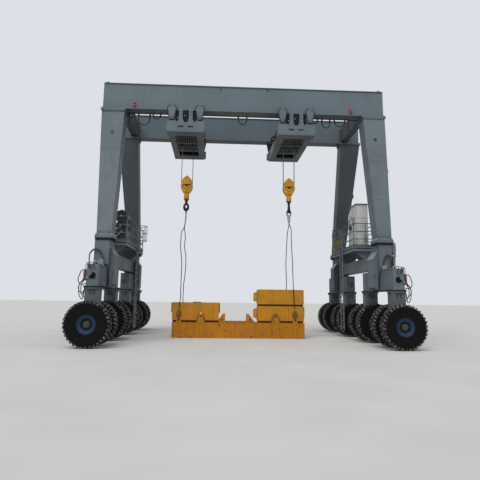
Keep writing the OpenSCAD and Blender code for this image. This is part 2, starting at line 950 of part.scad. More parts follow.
// closed eye hook on a swivelling shank; turn is its heading
module hook(x, turn) {
    color("#17181A")
        translate([x, 0, 0])
            rotate([0, 0, turn]) {
                // nut collar and shank
                translate([0, 0, block_top - 1145 - run - 40])
                    cylinder(d = 236, h = 40);
                translate([0, 0, hook_z + hook_r])
                    cylinder(d1 = 90, d2 = 120, h = block_top - 1185 - hook_z - hook_r + 5);
                translate([0, 0, hook_z])
                    rotate([90, 0, 0])
                        rotate_extrude()
                            translate([hook_r, 0])
                                circle(r = hook_t);
            }
}

module hook_left() {
    hook(left_x, 0);
}

module hook_right() {
    hook(right_x, 90);
}

// Load

// upright lug with a bore: w is its width at the foot, low its foot, z the bore's height
module lug_shape(w, low, z) {
    difference() {
        union() {
            translate([0, z])
                circle(r = 85);
            polygon([[-w / 2, low], [w / 2, low], [70, z + 48], [-70, z + 48]]);
        }
        translate([0, z])
            circle(d = lug_bore);
    }
}

module lifting_beam() {
    h = load_w / 2;
    color("#B5770F") {
        box(load_left, load_right, -h, h, 0, load_h);
        // raised plate between the weights
        box(load_left + weight_l + 150, load_right - weight_l - 150, -h + 150, h - 150, load_h, load_h + 45);
        // lugs for the slings
        for (c = sling_lugs)
            translate([c[0], 0, 0])
                front_plate(c[1] * lug_y - lug_t / 2, c[1] * lug_y + lug_t / 2)
                    lug_shape(240, load_h - 10, lug_z);
        // spare lugs along both edges
        for (x = [load_left + 1280, load_right - 1310])
            for (s = [-1, 1])
                translate([x, 0, 0])
                    front_plate(s * lug_y - lug_t / 2, s * lug_y + lug_t / 2)
                        lug_shape(380, load_h - 10, load_h + 290);
        // crossways lugs beside the weights
        for (x = [load_left + weight_l + 190, load_right - weight_l - 490])
            for (s = [-1, 1])
                translate([0, s * (h - 220), 0])
                    side_plate(x, x + 80)
                        lug_shape(340, load_h - 10, load_h + 290);
    }
}

// one weight on two skids; z0 is the height on which it stands
module weight(x0, z0, h) {
    w = weight_w / 2;
    box(x0, x0 + weight_l, -w, w, z0 + skid_h, z0 + skid_h + h);
    for (x = [x0 + 130, x0 + weight_l - 330])
        box(x, x + 200, -w + 60, w - 60, z0, z0 + skid_h);
}

// rounded handle plate that stands out from a weight's end at x, with a slot in it
module handle_plate(x, z) {
    for (y = [-300, 240])
        front_plate(y, y + 60)
            difference() {
                union() {
                    for (s = [-1, 1])
                        translate([x - 75, z + s * 130])
                            circle(r = 85);
                    translate([x - 160, z - 130])
                        square([165, 260]);
                    translate([x - 75, z - 215])
                        square([80, 430]);
                }
                translate([x - 90, z - 120])
                    square([60, 240]);
            }
}

module weights() {
    left = load_left - 20;
    right = load_right - weight_l;
    lower = load_h;
    upper = lower + skid_h + weight_right_h + run;
    left_top = lower + skid_h + weight_left_h;
    color("#C8922A") {
        weight(left, lower, weight_left_h);
        // lips at both ends of the left weight
        for (x = [left - 45, left + weight_l])
            box(x, x + 45, -300, 300, left_top - 450, left_top - 15);
        for (z = [lower, upper]) {
            weight(right, z, weight_right_h);
            handle_plate(right, z + skid_h + weight_right_h / 2);
        }
        // bracket on the end of the lower right weight
        box(right + weight_l, right + weight_l + 40, -300, 300,
            lower + 240, lower + skid_h + weight_right_h - 30);
    }
}

// route of one sling rope from p down to q, strayed sideways by its wave
function sling_route(p, q, wave) =
    [for (i = [0:19])
        let (s = i / 19)
            p + (q - p) * s + [lookup(s, wave), (q[1] - p[1]) * 0.6 * s * (1 - s), 0]];

// rope swept along a route that runs downwards, with level rings
module tube(route, d) {
    n = len(route);
    color("#26272A")
        polyhedron(
            points = [for (p = route) for (i = [0:7]) p + d / 2 * [cos(45 * i), sin(45 * i), 0]],
            faces = concat([[for (i = [7:-1:0]) i]], [[for (i = [0:7]) (n - 1) * 8 + i]],
                [for (k = [0:n - 2]) for (i = [0:7])
                    [k * 8 + i, k * 8 + (i + 1) % 8, (k + 1) * 8 + (i + 1) % 8, (k + 1) * 8 + i]]));
}

// rope leg from the link at x to a lug; turn is the link's heading and side the leg's side of the link
module sling(x, turn, side, lug, wave) {
    p = [x + (turn == 0 ? side * sling_apart : 0), turn == 0 ? 0 : side * sling_apart, sling_top];
    q = [lug[0], lug[1] * lug_y, sling_end];
    tube(sling_route(p, q, wave), sling_d);
}

module sling_left_front() {
    sling(left_x, 90, -1, lug_left_front, wave_left_front);
}

module sling_left_rear() {
    sling(left_x, 90, 1, lug_left_rear, wave_left_rear);
}

module sling_right_front() {
    sling(right_x, 0, -1, lug_right_front, wave_right_front);
}

module sling_right_rear() {
    sling(right_x, 0, 1, lug_right_rear, wave_right_rear);
}

module ring_shape(outer, inner) {
    difference() {
        circle(r = outer);
        circle(r = inner);
    }
}

// round-topped bow drawn upright: its sides run down to low; r is its inner radius and t its thickness
module bow_shape(r, t, z, low) {
    difference() {
        union() {
            translate([0, z])
                circle(r = r + t);
            translate([-r - t, low])
                square([2 * (r + t), z - low]);
        }
        translate([0, z])
            circle(r = r);
        translate([-r, low - 1])
            square([2 * r, z - low + 1]);
    }
}

// shackle with its pin through a lug along Y, and the rope's eye and ferrule above it
module shackle(lug) {
    translate([lug[0], lug[1] * lug_y, 0]) {
        // bow over the lug
        side_plate(-bow_t, bow_t)
            bow_shape(bow_r - bow_t, 2 * bow_t, bow_z, lug_z);
        for (s = [-1, 1])
            translate([0, s * bow_r, lug_z])
                rotate([90, 0, 0])
                    cylinder(d = lug_bore + 30, h = 2 * bow_t, center = true);
        translate([0, 0, lug_z])
            rotate([90, 0, 0])
                cylinder(d = lug_bore - 2 * run, h = 150, center = true);
        // the rope's pressed eye
        front_plate(-eye_t / 2, eye_t / 2)
            translate([0, eye_z])
                ring_shape(eye_r, eye_r - eye_t);
        translate([0, 0, sling_end - ferrule_h])
            cylinder(d = ferrule_d, h = ferrule_h);
    }
}

// link in the hook with the upper eyes of two ropes on it, and the shackles of their lower ends
module slings(x, turn, legs) {
    color("#26272A") {
        translate([x, 0, link_z])
            rotate([0, 0, turn]) {
                rotate([90, 0, 0])
                    rotate_extrude($fn = 32)
                        translate([link_r, 0])
                            circle(r = link_t, $fn = 16);
                for (s = [-1, 1]) {
                    side_plate(s * sling_apart - 15, s * sling_apart + 15)
                        translate([0, top_eye_z - link_z])
                            ring_shape(top_eye_r, top_eye_r - 24);
                    translate([s * sling_apart, 0, sling_top - link_z])
                        cylinder(d = ferrule_d - 4, h = ferrule_h);
                }
            }
        for (c = legs)
            shackle(c);
    }
}

module slings_left() {
    slings(left_x, 90, [lug_left_front, lug_left_rear]);
}

module slings_right() {
    slings(right_x, 0, [lug_right_front, lug_right_rear]);
}

front_girder();
rear_girder();
end_ties();
legs_left();
legs_right();
side_frame_left();
side_frame_right();
platforms();
railings();
ladders();
power_cabinet();
drive_unit();
control_boxes();
festoon_cable();
bogie_front_left();
bogie_front_right();
bogie_rear_left();
bogie_rear_right();
column_l1();
column_l2();
column_l3();
column_l4();
column_r1();
column_r2();
column_r3();
column_r4();
tyres_l1();
tyres_l2();
tyres_l3();
tyres_l4();
tyres_r1();
tyres_r2();
tyres_r3();
tyres_r4();
rims_l1();
rims_l2();
rims_l3();
rims_l4();
rims_r1();
rims_r2();
rims_r3();
rims_r4();
trolley_left();
trolley_right();
drum_left();
drum_right();
ropes_left();
ropes_right();
block_left();
block_right();
hook_left();
hook_right();
lifting_beam();
weights();
slings_left();
slings_right();
sling_left_front();
sling_left_rear();
sling_right_front();
sling_right_rear();
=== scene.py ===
"""Looks of the rubber tyred gantry crane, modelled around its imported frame."""

import math

import bpy
from bpy.props import FloatProperty, FloatVectorProperty, IntProperty, PointerProperty
from mathutils import Matrix, Vector


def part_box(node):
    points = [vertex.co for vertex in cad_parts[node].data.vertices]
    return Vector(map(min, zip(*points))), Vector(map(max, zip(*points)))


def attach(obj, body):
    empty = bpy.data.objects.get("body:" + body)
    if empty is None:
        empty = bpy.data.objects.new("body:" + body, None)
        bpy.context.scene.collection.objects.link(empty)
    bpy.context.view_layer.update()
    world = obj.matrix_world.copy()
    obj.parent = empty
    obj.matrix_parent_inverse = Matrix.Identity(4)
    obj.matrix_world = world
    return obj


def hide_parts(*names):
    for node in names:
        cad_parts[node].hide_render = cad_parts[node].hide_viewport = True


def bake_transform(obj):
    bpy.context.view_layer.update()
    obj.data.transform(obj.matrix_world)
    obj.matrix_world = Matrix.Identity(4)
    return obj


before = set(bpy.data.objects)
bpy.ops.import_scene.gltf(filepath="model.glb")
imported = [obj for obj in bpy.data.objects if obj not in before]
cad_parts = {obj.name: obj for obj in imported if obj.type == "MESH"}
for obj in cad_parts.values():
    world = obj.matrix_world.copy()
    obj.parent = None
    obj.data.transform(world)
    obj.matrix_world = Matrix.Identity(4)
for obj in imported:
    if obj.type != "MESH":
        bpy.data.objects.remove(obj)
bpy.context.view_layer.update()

bl_info = {
    "name": "Rubber tyred gantry crane",
    "version": (1, 0, 0),
    "blender": (4, 5, 0),
    "location": "View3D > Sidebar > Crane",
    "description": "Models and paints the visible pieces of a gantry crane around its frame",
    "category": "Object",
}


def corners(node):
    """Lowest and highest corner of a frame node, as vectors in metres."""
    low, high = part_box(node)
    return Vector(low), Vector(high)


def middle(node):
    low, high = corners(node)
    return (low + high) / 2


# Places that the frame gives
WHEELS = ["l1", "l2", "l3", "l4", "r1", "r2", "r3", "r4"]
GROUPS = ["front_left", "front_right", "rear_left", "rear_right"]
ENDS = (-1, 1)
AXLE_Z = middle("tyres_r1").z
PAIR = corners("tyres_r1")[1] - corners("tyres_r1")[0]
TYRE_RADIUS = PAIR.z / 2
TYRE_HALF = 0.24
TYRE_Y = PAIR.y / 2 - TYRE_HALF
SIDES = {"left": middle("trolley_left").x, "right": middle("trolley_right").x}
TROLLEY_Z = corners("trolley_left")[0].z
SHEAVE_TOP_Z = corners("ropes_left")[1].z
SHEAVE_Z = corners("ropes_left")[0].z
BLOCK_TOP = corners("block_left")[1].z
BEAM_LOW, BEAM_HIGH = corners("lifting_beam")
SLING_LOW, SLING_HIGH = corners("sling_left_front")
# Places inside a node that its box doesn't give
DRUM_Z = 9.19
DECK_Z = 9.45
LOAD_Z = 0.69
LUG_Y = 0.49
LEG_X = 5.6
FORK_Y = 3.2
PIN_Z = 2.56
FLOOR_Z = 4.10


# Modelling by hand


def deselect():
    if bpy.context.mode != "OBJECT":
        bpy.ops.object.mode_set(mode="OBJECT")
    bpy.ops.object.select_all(action="DESELECT")


def pick(obj):
    deselect()
    obj.select_set(True)
    bpy.context.view_layer.objects.active = obj


def named(name):
    """The object in hand, with its name and its mesh's."""
    obj = bpy.context.object
    obj.name = obj.data.name = name
    return obj


def settled(name):
    """Name the object in hand and put its place into its mesh."""
    bpy.ops.object.transform_apply(location=True, rotation=True, scale=True)
    return named(name)


def apply(obj, kind, **settings):
    """Add a modifier with its settings and apply it."""
    pick(obj)
    modifier = obj.modifiers.new(kind.title(), kind)
    for key, value in settings.items():
        setattr(modifier, key, value)
    bpy.ops.object.modifier_apply(modifier=modifier.name)
    return obj


def soften(obj, width, segments=2, angle=35):
    """Round the sharp edges as a cast or folded piece has them."""
    return apply(obj, "BEVEL", width=width, segments=segments, limit_method="ANGLE",
                 angle_limit=math.radians(angle), harden_normals=False)


def block(name, low, high, edge=0.0, segments=2):
    """Box between two opposite corners, whichever way round they are given."""
    deselect()
    low, high = Vector(map(min, low, high)), Vector(map(max, low, high))
    bpy.ops.mesh.primitive_cube_add(size=1.0, location=(low + high) / 2, scale=high - low)
    obj = settled(name)
    return soften(obj, edge, segments) if edge else obj


def rod(name, start, end, radius, sides=16, edge=0.0):
    deselect()
    start, end = Vector(start), Vector(end)
    heading = (end - start).to_track_quat("Z", "Y").to_euler()
    bpy.ops.mesh.primitive_cone_add(vertices=sides, radius1=radius, radius2=radius,
                                    depth=(end - start).length, location=(start + end) / 2, rotation=heading)
    obj = settled(name)
    return soften(obj, edge) if edge else obj


def drawn_line(name, points):
    """One vertex, extruded from point to point."""
    deselect()
    bpy.ops.mesh.primitive_plane_add(size=0.01)
    obj = settled(name)
    bpy.ops.object.mode_set(mode="EDIT")
    bpy.ops.mesh.select_all(action="SELECT")
    bpy.ops.mesh.merge(type="CENTER")
    bpy.ops.transform.translate(value=points[0])
    for last, here in zip(points, points[1:]):
        bpy.ops.mesh.extrude_vertices_move(TRANSFORM_OT_translate={"value": Vector(here) - Vector(last)})
    return obj


def leave_edit():
    bpy.ops.object.mode_set(mode="OBJECT")


def choose(obj, test, what="FACE"):
    """Edit mode with only the faces or vertices that pass the test selected."""
    pick(obj)
    bpy.ops.object.mode_set(mode="EDIT")
    bpy.ops.mesh.select_mode(type=what)
    bpy.ops.mesh.select_all(action="DESELECT")
    leave_edit()
    for item in obj.data.polygons if what == "FACE" else obj.data.vertices:
        item.select = test(item)
    bpy.ops.object.mode_set(mode="EDIT")


def smooth(obj, angle=40):
    pick(obj)
    bpy.ops.object.shade_smooth_by_angle(angle=math.radians(angle))
    return obj


def turned(name, pairs, axes, steps=48, angle=30):
    """Profile spun once round an axis, as on a lathe.

    The pairs are places along the two axes that are named, and the capital names the one to turn round.
    """
    along = [Vector([float(letter == axis.lower()) for letter in "xyz"]) for axis in axes]
    obj = drawn_line(name, [along[0] * a + along[1] * b for a, b in pairs])
    bpy.ops.mesh.select_all(action="SELECT")
    bpy.ops.mesh.spin(steps=steps, angle=2 * math.pi, center=(0, 0, 0), axis=along[axes[1].isupper()])
    bpy.ops.mesh.select_all(action="SELECT")
    bpy.ops.mesh.remove_doubles(threshold=0.0002)
    bpy.ops.mesh.normals_make_consistent(inside=False)
    leave_edit()
    return smooth(obj, angle)


def cut_plate(name, points, push, edge=0.0):
    """Flat outline filled and extruded by the vector push."""
    obj = drawn_line(name, points)
    bpy.ops.mesh.select_all(action="SELECT")
    bpy.ops.mesh.edge_face_add()
    bpy.ops.mesh.extrude_region_move(TRANSFORM_OT_translate={"value": push})
    bpy.ops.mesh.select_all(action="SELECT")
    bpy.ops.mesh.normals_make_consistent(inside=False)
    leave_edit()
    return soften(obj, edge) if edge else obj


def front_plate(name, outline, y_from, y_to, edge=0.0):
    """Plate drawn in X and Z, with its thickness along Y."""
    low, high = sorted((y_from, y_to))
    return cut_plate(name, [Vector((u, low, v)) for u, v in outline], (0, high - low, 0), edge)


def side_plate(name, outline, x_from, x_to, edge=0.0):
    """Plate drawn in Y and Z, with its thickness along X."""
    low, high = sorted((x_from, x_to))
    return cut_plate(name, [Vector((low, u, v)) for u, v in outline], (high - low, 0, 0), edge)


def arc(centre, radius, start, end, steps):
    """Points of an arc in a flat drawing, with its angles in degrees."""
    angles = [math.radians(start + (end - start) * i / steps) for i in range(steps + 1)]
    return [(centre[0] + radius * math.cos(a), centre[1] + radius * math.sin(a)) for a in angles]


def mirrored(half):
    """Closed outline from its right half, drawn from the top down."""
    return half + [(-u, v) for u, v in reversed(half)]


def shift(*place):
    """Matrix that moves a piece by x, y and z."""
    return Matrix.Translation(place)


def turn(degrees, axis):
    """Matrix that turns a piece round an axis through the origin."""
    return Matrix.Rotation(math.radians(degrees), 4, axis)


def placed(obj, matrix):
    """Move a piece by moving its mesh."""
    obj.data.transform(matrix)
    return obj


def moved(obj, *place):
    return placed(obj, shift(*place))


def copied(obj, matrix):
    """A copy with a mesh of its own, moved by a matrix."""
    twin = obj.copy()
    twin.data = obj.data.copy()
    twin.data.transform(matrix)
    if matrix.determinant() < 0:
        twin.data.flip_normals()
    bpy.context.collection.objects.link(twin)
    return twin


def used_up(*pieces):
    for piece in pieces:
        bpy.data.objects.remove(piece)


def at_places(obj, places):
    """Copies of a piece at each place; the piece itself is used up."""
    parts = [copied(obj, shift(*place)) for place in places]
    used_up(obj)
    return parts


def ring_of(obj, count, axis, centre=(0, 0, 0), start=0.0):
    """Copies of a piece set evenly round an axis; the piece itself is used up."""
    to_centre = shift(*centre)
    parts = [copied(obj, to_centre @ Matrix.Rotation(start + 2 * math.pi * i / count, 4, axis)
                    @ to_centre.inverted())
             for i in range(count)]
    used_up(obj)
    return parts


def cut_by(obj, cutter):
    """Cut a solid out of a piece."""
    apply(obj, "BOOLEAN", object=cutter, operation="DIFFERENCE", solver="EXACT")
    used_up(cutter)
    return obj


def joined(name, parts):
    deselect()
    for part in parts:
        part.select_set(True)
    bpy.context.view_layer.objects.active = parts[0]
    if len(parts) > 1:
        bpy.ops.object.join()
    return named(name)


def painted(obj, key):
    """Give a piece the one finish that a key of MATERIALS names."""
    obj.data.materials.clear()
    obj.data.materials.append(MATERIALS[key])
    return obj


def meshed(name, curve, key):
    """A curve turned into a smooth, painted mesh."""
    obj = bpy.data.objects.new(name, curve)
    bpy.context.collection.objects.link(obj)
    pick(obj)
    bpy.ops.object.convert(target="MESH")
    return smooth(painted(named(name), key), 60)


def round_curve(name, knots, radius, resolution, steps):
    """Curve with a round section through its knots."""
    curve = bpy.data.curves.new(name, "CURVE")
    curve.dimensions = "3D"
    curve.bevel_depth = radius
    curve.bevel_resolution = resolution
    curve.use_fill_caps = True
    curve.resolution_u = steps
    spline = curve.splines.new("BEZIER")
    spline.bezier_points.add(len(knots) - 1)
    for place, knot in zip(knots, spline.bezier_points):
        knot.co = place
        knot.handle_left_type = knot.handle_right_type = "AUTO"
    return curve


def hose(name, points, radius, key, sides=10):
    """A bent tube through the points, round in section."""
    return meshed(name, round_curve(name, points, radius, sides // 4, 6), key)


def hex_bolt(name, width, height, key):
    """Bolt head on a washer, standing on z = 0."""
    washer = rod(name + "_washer", (0, 0, 0), (0, 0, height * 0.2), width * 0.62, 12)
    head = rod(name, (0, 0, height * 0.2), (0, 0, height), width * 0.5, 6, edge=width * 0.05)
    return painted(joined(name, [head, washer]), key)


class Kit(list):
    """Painted parts that become one piece."""

    def put(self, key, *parts):
        self.extend(painted(part, key) for part in parts)

    def block(self, key, name, low, high, edge=0.0, segments=2):
        self.put(key, block(name, low, high, edge, segments))

    def rod(self, key, name, start, end, radius, sides=16, edge=0.0):
        self.put(key, smooth(rod(name, start, end, radius, sides, edge)))

    def hoses(self, key, name, routes, radius, sides=10):
        self.extend(hose(name, route, radius, key, sides) for route in routes)

    def mount(self, name, body, slot, *nodes):
        """Join the parts, give the piece its body and hide the frame nodes that it stands for. The slot is
        not used.
        """
        obj = joined(name, self)
        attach(obj, body)
        if nodes:
            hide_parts(*nodes)
        return obj


# Finishes


def linear(code):
    """sRGB hex colour as linear RGBA."""
    channels = [int(code[i:i + 2], 16) / 255 for i in (1, 3, 5)]
    curved = [c / 12.92 if c <= 0.04045 else ((c + 0.055) / 1.055) ** 2.4 for c in channels]
    return (*curved, 1.0)


def per_metre(size_mm):
    """Pattern scale on Object coordinates whose features are size_mm apart."""
    return 1000.0 / size_mm


def add(tree, kind, links=None, **settings):
    """Add a node: capitalised settings go to its sockets, the others to its properties.

    A link comes from a socket, or from a node's first output.
    """
    node = tree.nodes.new(kind)
    for key, value in settings.items():
        if key[0].isupper():
            node.inputs[key.replace("_", " ")].default_value = value
        else:
            setattr(node, key, value)
    for socket, source in (links or {}).items():
        tree.links.new(source.outputs[0] if isinstance(source, bpy.types.Node) else source,
                       node.inputs[socket])
    return node


def steps_of(ramp, stops):
    """Set a colour ramp's stops: pairs of place and grey level or colour."""
    elements = ramp.color_ramp.elements
    while len(elements) < len(stops):
        elements.new(0.5)
    for element, (place, value) in zip(elements, stops):
        element.position = place
        element.color = value if isinstance(value, tuple) else (value, value, value, 1.0)
    return ramp


def new_material(name):
    """New material, its empty tree and its Object coordinates."""
    material = bpy.data.materials.new(name)
    material.use_nodes = True
    tree = material.node_tree
    tree.nodes.clear()
    return material, tree, add(tree, "ShaderNodeTexCoord").outputs["Object"]


def plate_paint(name, colour, grime, rust_share=0.0, roughness=0.5, streaks=0.35, plate_mm=1500,
                rear_shade_share=0.0):
    """Paint on welded steel plate: broad mottling, rain streaks, grime in fine specks and rust spots.

    Faces that look down are darkened towards brown as painted shade, and pieces towards the rear, at Y above
    0.8 m, are darkened by the given share as painted shade.
    """
    material, tree, place = new_material(name)
    mottle = add(tree, "ShaderNodeTexNoise", {"Vector": place}, Scale=per_metre(plate_mm), Detail=5.0)
    upright = add(tree, "ShaderNodeMapping", {"Vector": place}, Scale=(1.0, 1.0, 0.06))
    rain = add(tree, "ShaderNodeTexNoise", {"Vector": upright}, Scale=per_metre(120), Detail=4.0)
    speck = add(tree, "ShaderNodeTexNoise", {"Vector": place}, Scale=per_metre(45), Detail=8.0,
                Roughness=0.65)
    broad = steps_of(add(tree, "ShaderNodeValToRGB", {"Fac": mottle}), [(0.35, 0.0), (0.7, 0.55)])
    runs = steps_of(add(tree, "ShaderNodeValToRGB", {"Fac": rain}), [(0.5, 0.0), (0.8, streaks)])
    grains = steps_of(add(tree, "ShaderNodeValToRGB", {"Fac": speck}), [(0.45, 0.0), (0.85, 0.6)])
    dirt = add(tree, "ShaderNodeMath", {0: broad, 1: runs}, operation="ADD")
    dirt = add(tree, "ShaderNodeMath", {0: dirt, 1: grains}, operation="MAXIMUM", use_clamp=True)
    coat = add(tree, "ShaderNodeMixRGB", {"Fac": dirt}, Color1=colour, Color2=linear(grime))
    rusty = add(tree, "ShaderNodeTexNoise", {"Vector": place}, Scale=per_metre(230), Detail=12.0,
                Roughness=0.7)
    spots = steps_of(add(tree, "ShaderNodeValToRGB", {"Fac": rusty}),
                     [(0.72 - 0.3 * rust_share, 0.0), (0.76 - 0.25 * rust_share, 1.0 if rust_share else 0.0)])
    tint = add(tree, "ShaderNodeMixRGB", {"Fac": spots, "Color1": coat}, Color2=linear("#5A3423"))
    # painted shade: faces that look down are mixed towards dark brown
    facing = add(tree, "ShaderNodeSeparateXYZ",
                 {"Vector": add(tree, "ShaderNodeNewGeometry").outputs["Normal"]})
    below = add(tree, "ShaderNodeMapRange", {"Value": facing.outputs["Z"]}, From_Min=-0.35, From_Max=-0.8,
                To_Min=0.0, To_Max=0.6)
    tint = add(tree, "ShaderNodeMixRGB", {"Fac": below, "Color1": tint}, Color2=linear("#37352F"))
    # painted shade: pieces towards the rear of the crane are darkened
    if rear_shade_share:
        depth = add(tree, "ShaderNodeSeparateXYZ", {"Vector": place})
        rear = add(tree, "ShaderNodeMapRange", {"Value": depth.outputs["Y"]}, From_Min=0.8, From_Max=1.8,
                   To_Min=0.0, To_Max=rear_shade_share)
        tint = add(tree, "ShaderNodeMixRGB", {"Fac": rear, "Color1": tint}, Color2=linear("#33363B"))
    rough = add(tree, "ShaderNodeMapRange", {"Value": dirt}, To_Min=roughness, To_Max=roughness + 0.25)
    # brush and spray ripple is about 6 mm, drawn at 25 mm so that it shows
    ripple = add(tree, "ShaderNodeTexNoise", {"Vector": place}, Scale=per_metre(25), Detail=3.0)
    skin = add(tree, "ShaderNodeBump", {"Height": ripple}, Strength=0.12, Distance=0.004)
    # plates pull in a little between their stiffeners
    dents = add(tree, "ShaderNodeTexNoise", {"Vector": place}, Scale=per_metre(700), Detail=1.0)
    bump = add(tree, "ShaderNodeBump", {"Height": dents, "Normal": skin}, Strength=0.25, Distance=0.02)
    shader = add(tree, "ShaderNodeBsdfPrincipled", {"Base Color": tint, "Roughness": rough, "Normal": bump},
                 Specular_IOR_Level=0.25)
    add(tree, "ShaderNodeOutputMaterial", {"Surface": shader})
    return material


def plain_finish(name, colour, shade, grain_mm, roughness, metallic=0.0):
    """One finish with a soft change of tone and a fine bump of the given grain size."""
    material, tree, place = new_material(name)
    tone = add(tree, "ShaderNodeTexNoise", {"Vector": place}, Scale=per_metre(grain_mm * 6), Detail=6.0)
    fine = add(tree, "ShaderNodeTexNoise", {"Vector": place}, Scale=per_metre(grain_mm), Detail=4.0)
    blend = steps_of(add(tree, "ShaderNodeValToRGB", {"Fac": tone}), [(0.35, 0.0), (0.75, 1.0)])
    mix = add(tree, "ShaderNodeMixRGB", {"Fac": blend}, Color1=colour, Color2=linear(shade))
    rough = add(tree, "ShaderNodeMapRange", {"Value": fine}, To_Min=roughness - 0.1, To_Max=roughness + 0.12)
    bump = add(tree, "ShaderNodeBump", {"Height": fine}, Strength=0.35, Distance=0.001)
    shader = add(tree, "ShaderNodeBsdfPrincipled", {"Base Color": mix, "Roughness": rough, "Normal": bump},
                 Metallic=metallic)
    add(tree, "ShaderNodeOutputMaterial", {"Surface": shader})
    return material


def tyre_rubber(name, colour, dust, share):
    """Moulded tyre rubber: near black, matt, with pale yard dust on the tread."""
    material, tree, place = new_material(name)
    patch = add(tree, "ShaderNodeTexNoise", {"Vector": place}, Scale=per_metre(160), Detail=8.0,
                Roughness=0.7)
    film = steps_of(add(tree, "ShaderNodeValToRGB", {"Fac": patch}), [(0.42, 0.0), (0.72, share)])
    mix = add(tree, "ShaderNodeMixRGB", {"Fac": film}, Color1=colour, Color2=linear(dust))
    grain = add(tree, "ShaderNodeTexNoise", {"Vector": place}, Scale=per_metre(14), Detail=4.0)
    bump = add(tree, "ShaderNodeBump", {"Height": grain}, Strength=0.4, Distance=0.002)
    shader = add(tree, "ShaderNodeBsdfPrincipled", {"Base Color": mix, "Normal": bump}, Roughness=0.85,
                 Specular_IOR_Level=0.15)
    add(tree, "ShaderNodeOutputMaterial", {"Surface": shader})
    return material


def wire_rope(name, colour, light):
    """Wire rope: slanting strands about 12 mm apart, dark between them."""
    material, tree, place = new_material(name)
    slant = add(tree, "ShaderNodeMapping", {"Vector": place},
                Rotation=(0.0, math.radians(35), math.radians(35)))
    lay = add(tree, "ShaderNodeTexWave", {"Vector": slant}, Scale=per_metre(12) / 6.283 * 2, Distortion=0.4,
              Detail=1.0, bands_direction="Z").outputs["Fac"]
    mix = add(tree, "ShaderNodeMixRGB", {"Fac": lay}, Color1=colour, Color2=linear(light))
    bump = add(tree, "ShaderNodeBump", {"Height": lay}, Strength=0.6, Distance=0.003)
    shader = add(tree, "ShaderNodeBsdfPrincipled", {"Base Color": mix, "Normal": bump}, Metallic=0.2,
                 Roughness=0.62)
    add(tree, "ShaderNodeOutputMaterial", {"Surface": shader})
    return material


MATERIALS = {}
# Name, colour, darker tone, grain in mm, roughness and metallic
PLAIN = {
    # oiled drop forging and other bare or blackened steel
    "hook_black": ("oiled_forging", "#1B1C1E", "#2C2A28", 9, 0.45, 0.5),
    "dark_steel": ("greased_machined_steel", "#3A3D40", "#25262A", 12, 0.42, 0.7),
    "bolt": ("galvanised_bolts", "#7E868A", "#5C6367", 6, 0.45, 0.6),
    "shackle": ("forged_shackle_steel", "#3A3B3D", "#56514A", 10, 0.5, 0.6),
    "rust_steel": ("rusty_mill_steel", "#4A2E1B", "#2E211A", 20, 0.8),
    "stripe": ("dull_bare_strip", "#8A8D8E", "#6A6C6C", 20, 0.5),
    "pale_metal": ("bare_worn_metal", "#A9ADAF", "#85898C", 12, 0.4, 0.6),
    "hub": ("dusty_cast_hub", "#4A463D", "#33302A", 18, 0.8),
    # enamels on machines and small fittings
    "machine_black": ("black_machine_enamel", "#232527", "#36383A", 30, 0.4),
    "machine_grey": ("grey_machine_enamel", "#4F585E", "#3A4146", 25, 0.45),
    "red": ("red_enamel", "#A63A34", "#6E2A28", 15, 0.4),
    "pin_red": ("red_oxide_pins", "#7A4A3E", "#4E3A36", 15, 0.55),
    "ladder_grey": ("worn_ladder_paint", "#6A6F72", "#4C5154", 30, 0.6),
    "cap_cream": ("cream_cap_paint", "#CFC4A2", "#A89C7C", 30, 0.6),
    # near black shadow paint for linings, cable sheath, glass, and timber near black as painted shade
    "cable_black": ("cable_sheath", "#19191B", "#242528", 20, 0.6),
    "black": ("black_shadow_paint", "#060709", "#0B0C0E", 25, 0.9),
    "recess": ("greasy_recess", "#5E4118", "#33240F", 25, 0.7),
    "lamp": ("red_lamp_glass", "#C8402A", "#A83220", 10, 0.3),
    "dark_glass": ("dark_window_glass", "#14181B", "#1C2226", 40, 0.15),
    "dunnage_shade_black": ("dunnage_painted_as_shade", "#1D1712", "#2C2119", 40, 0.9),
}


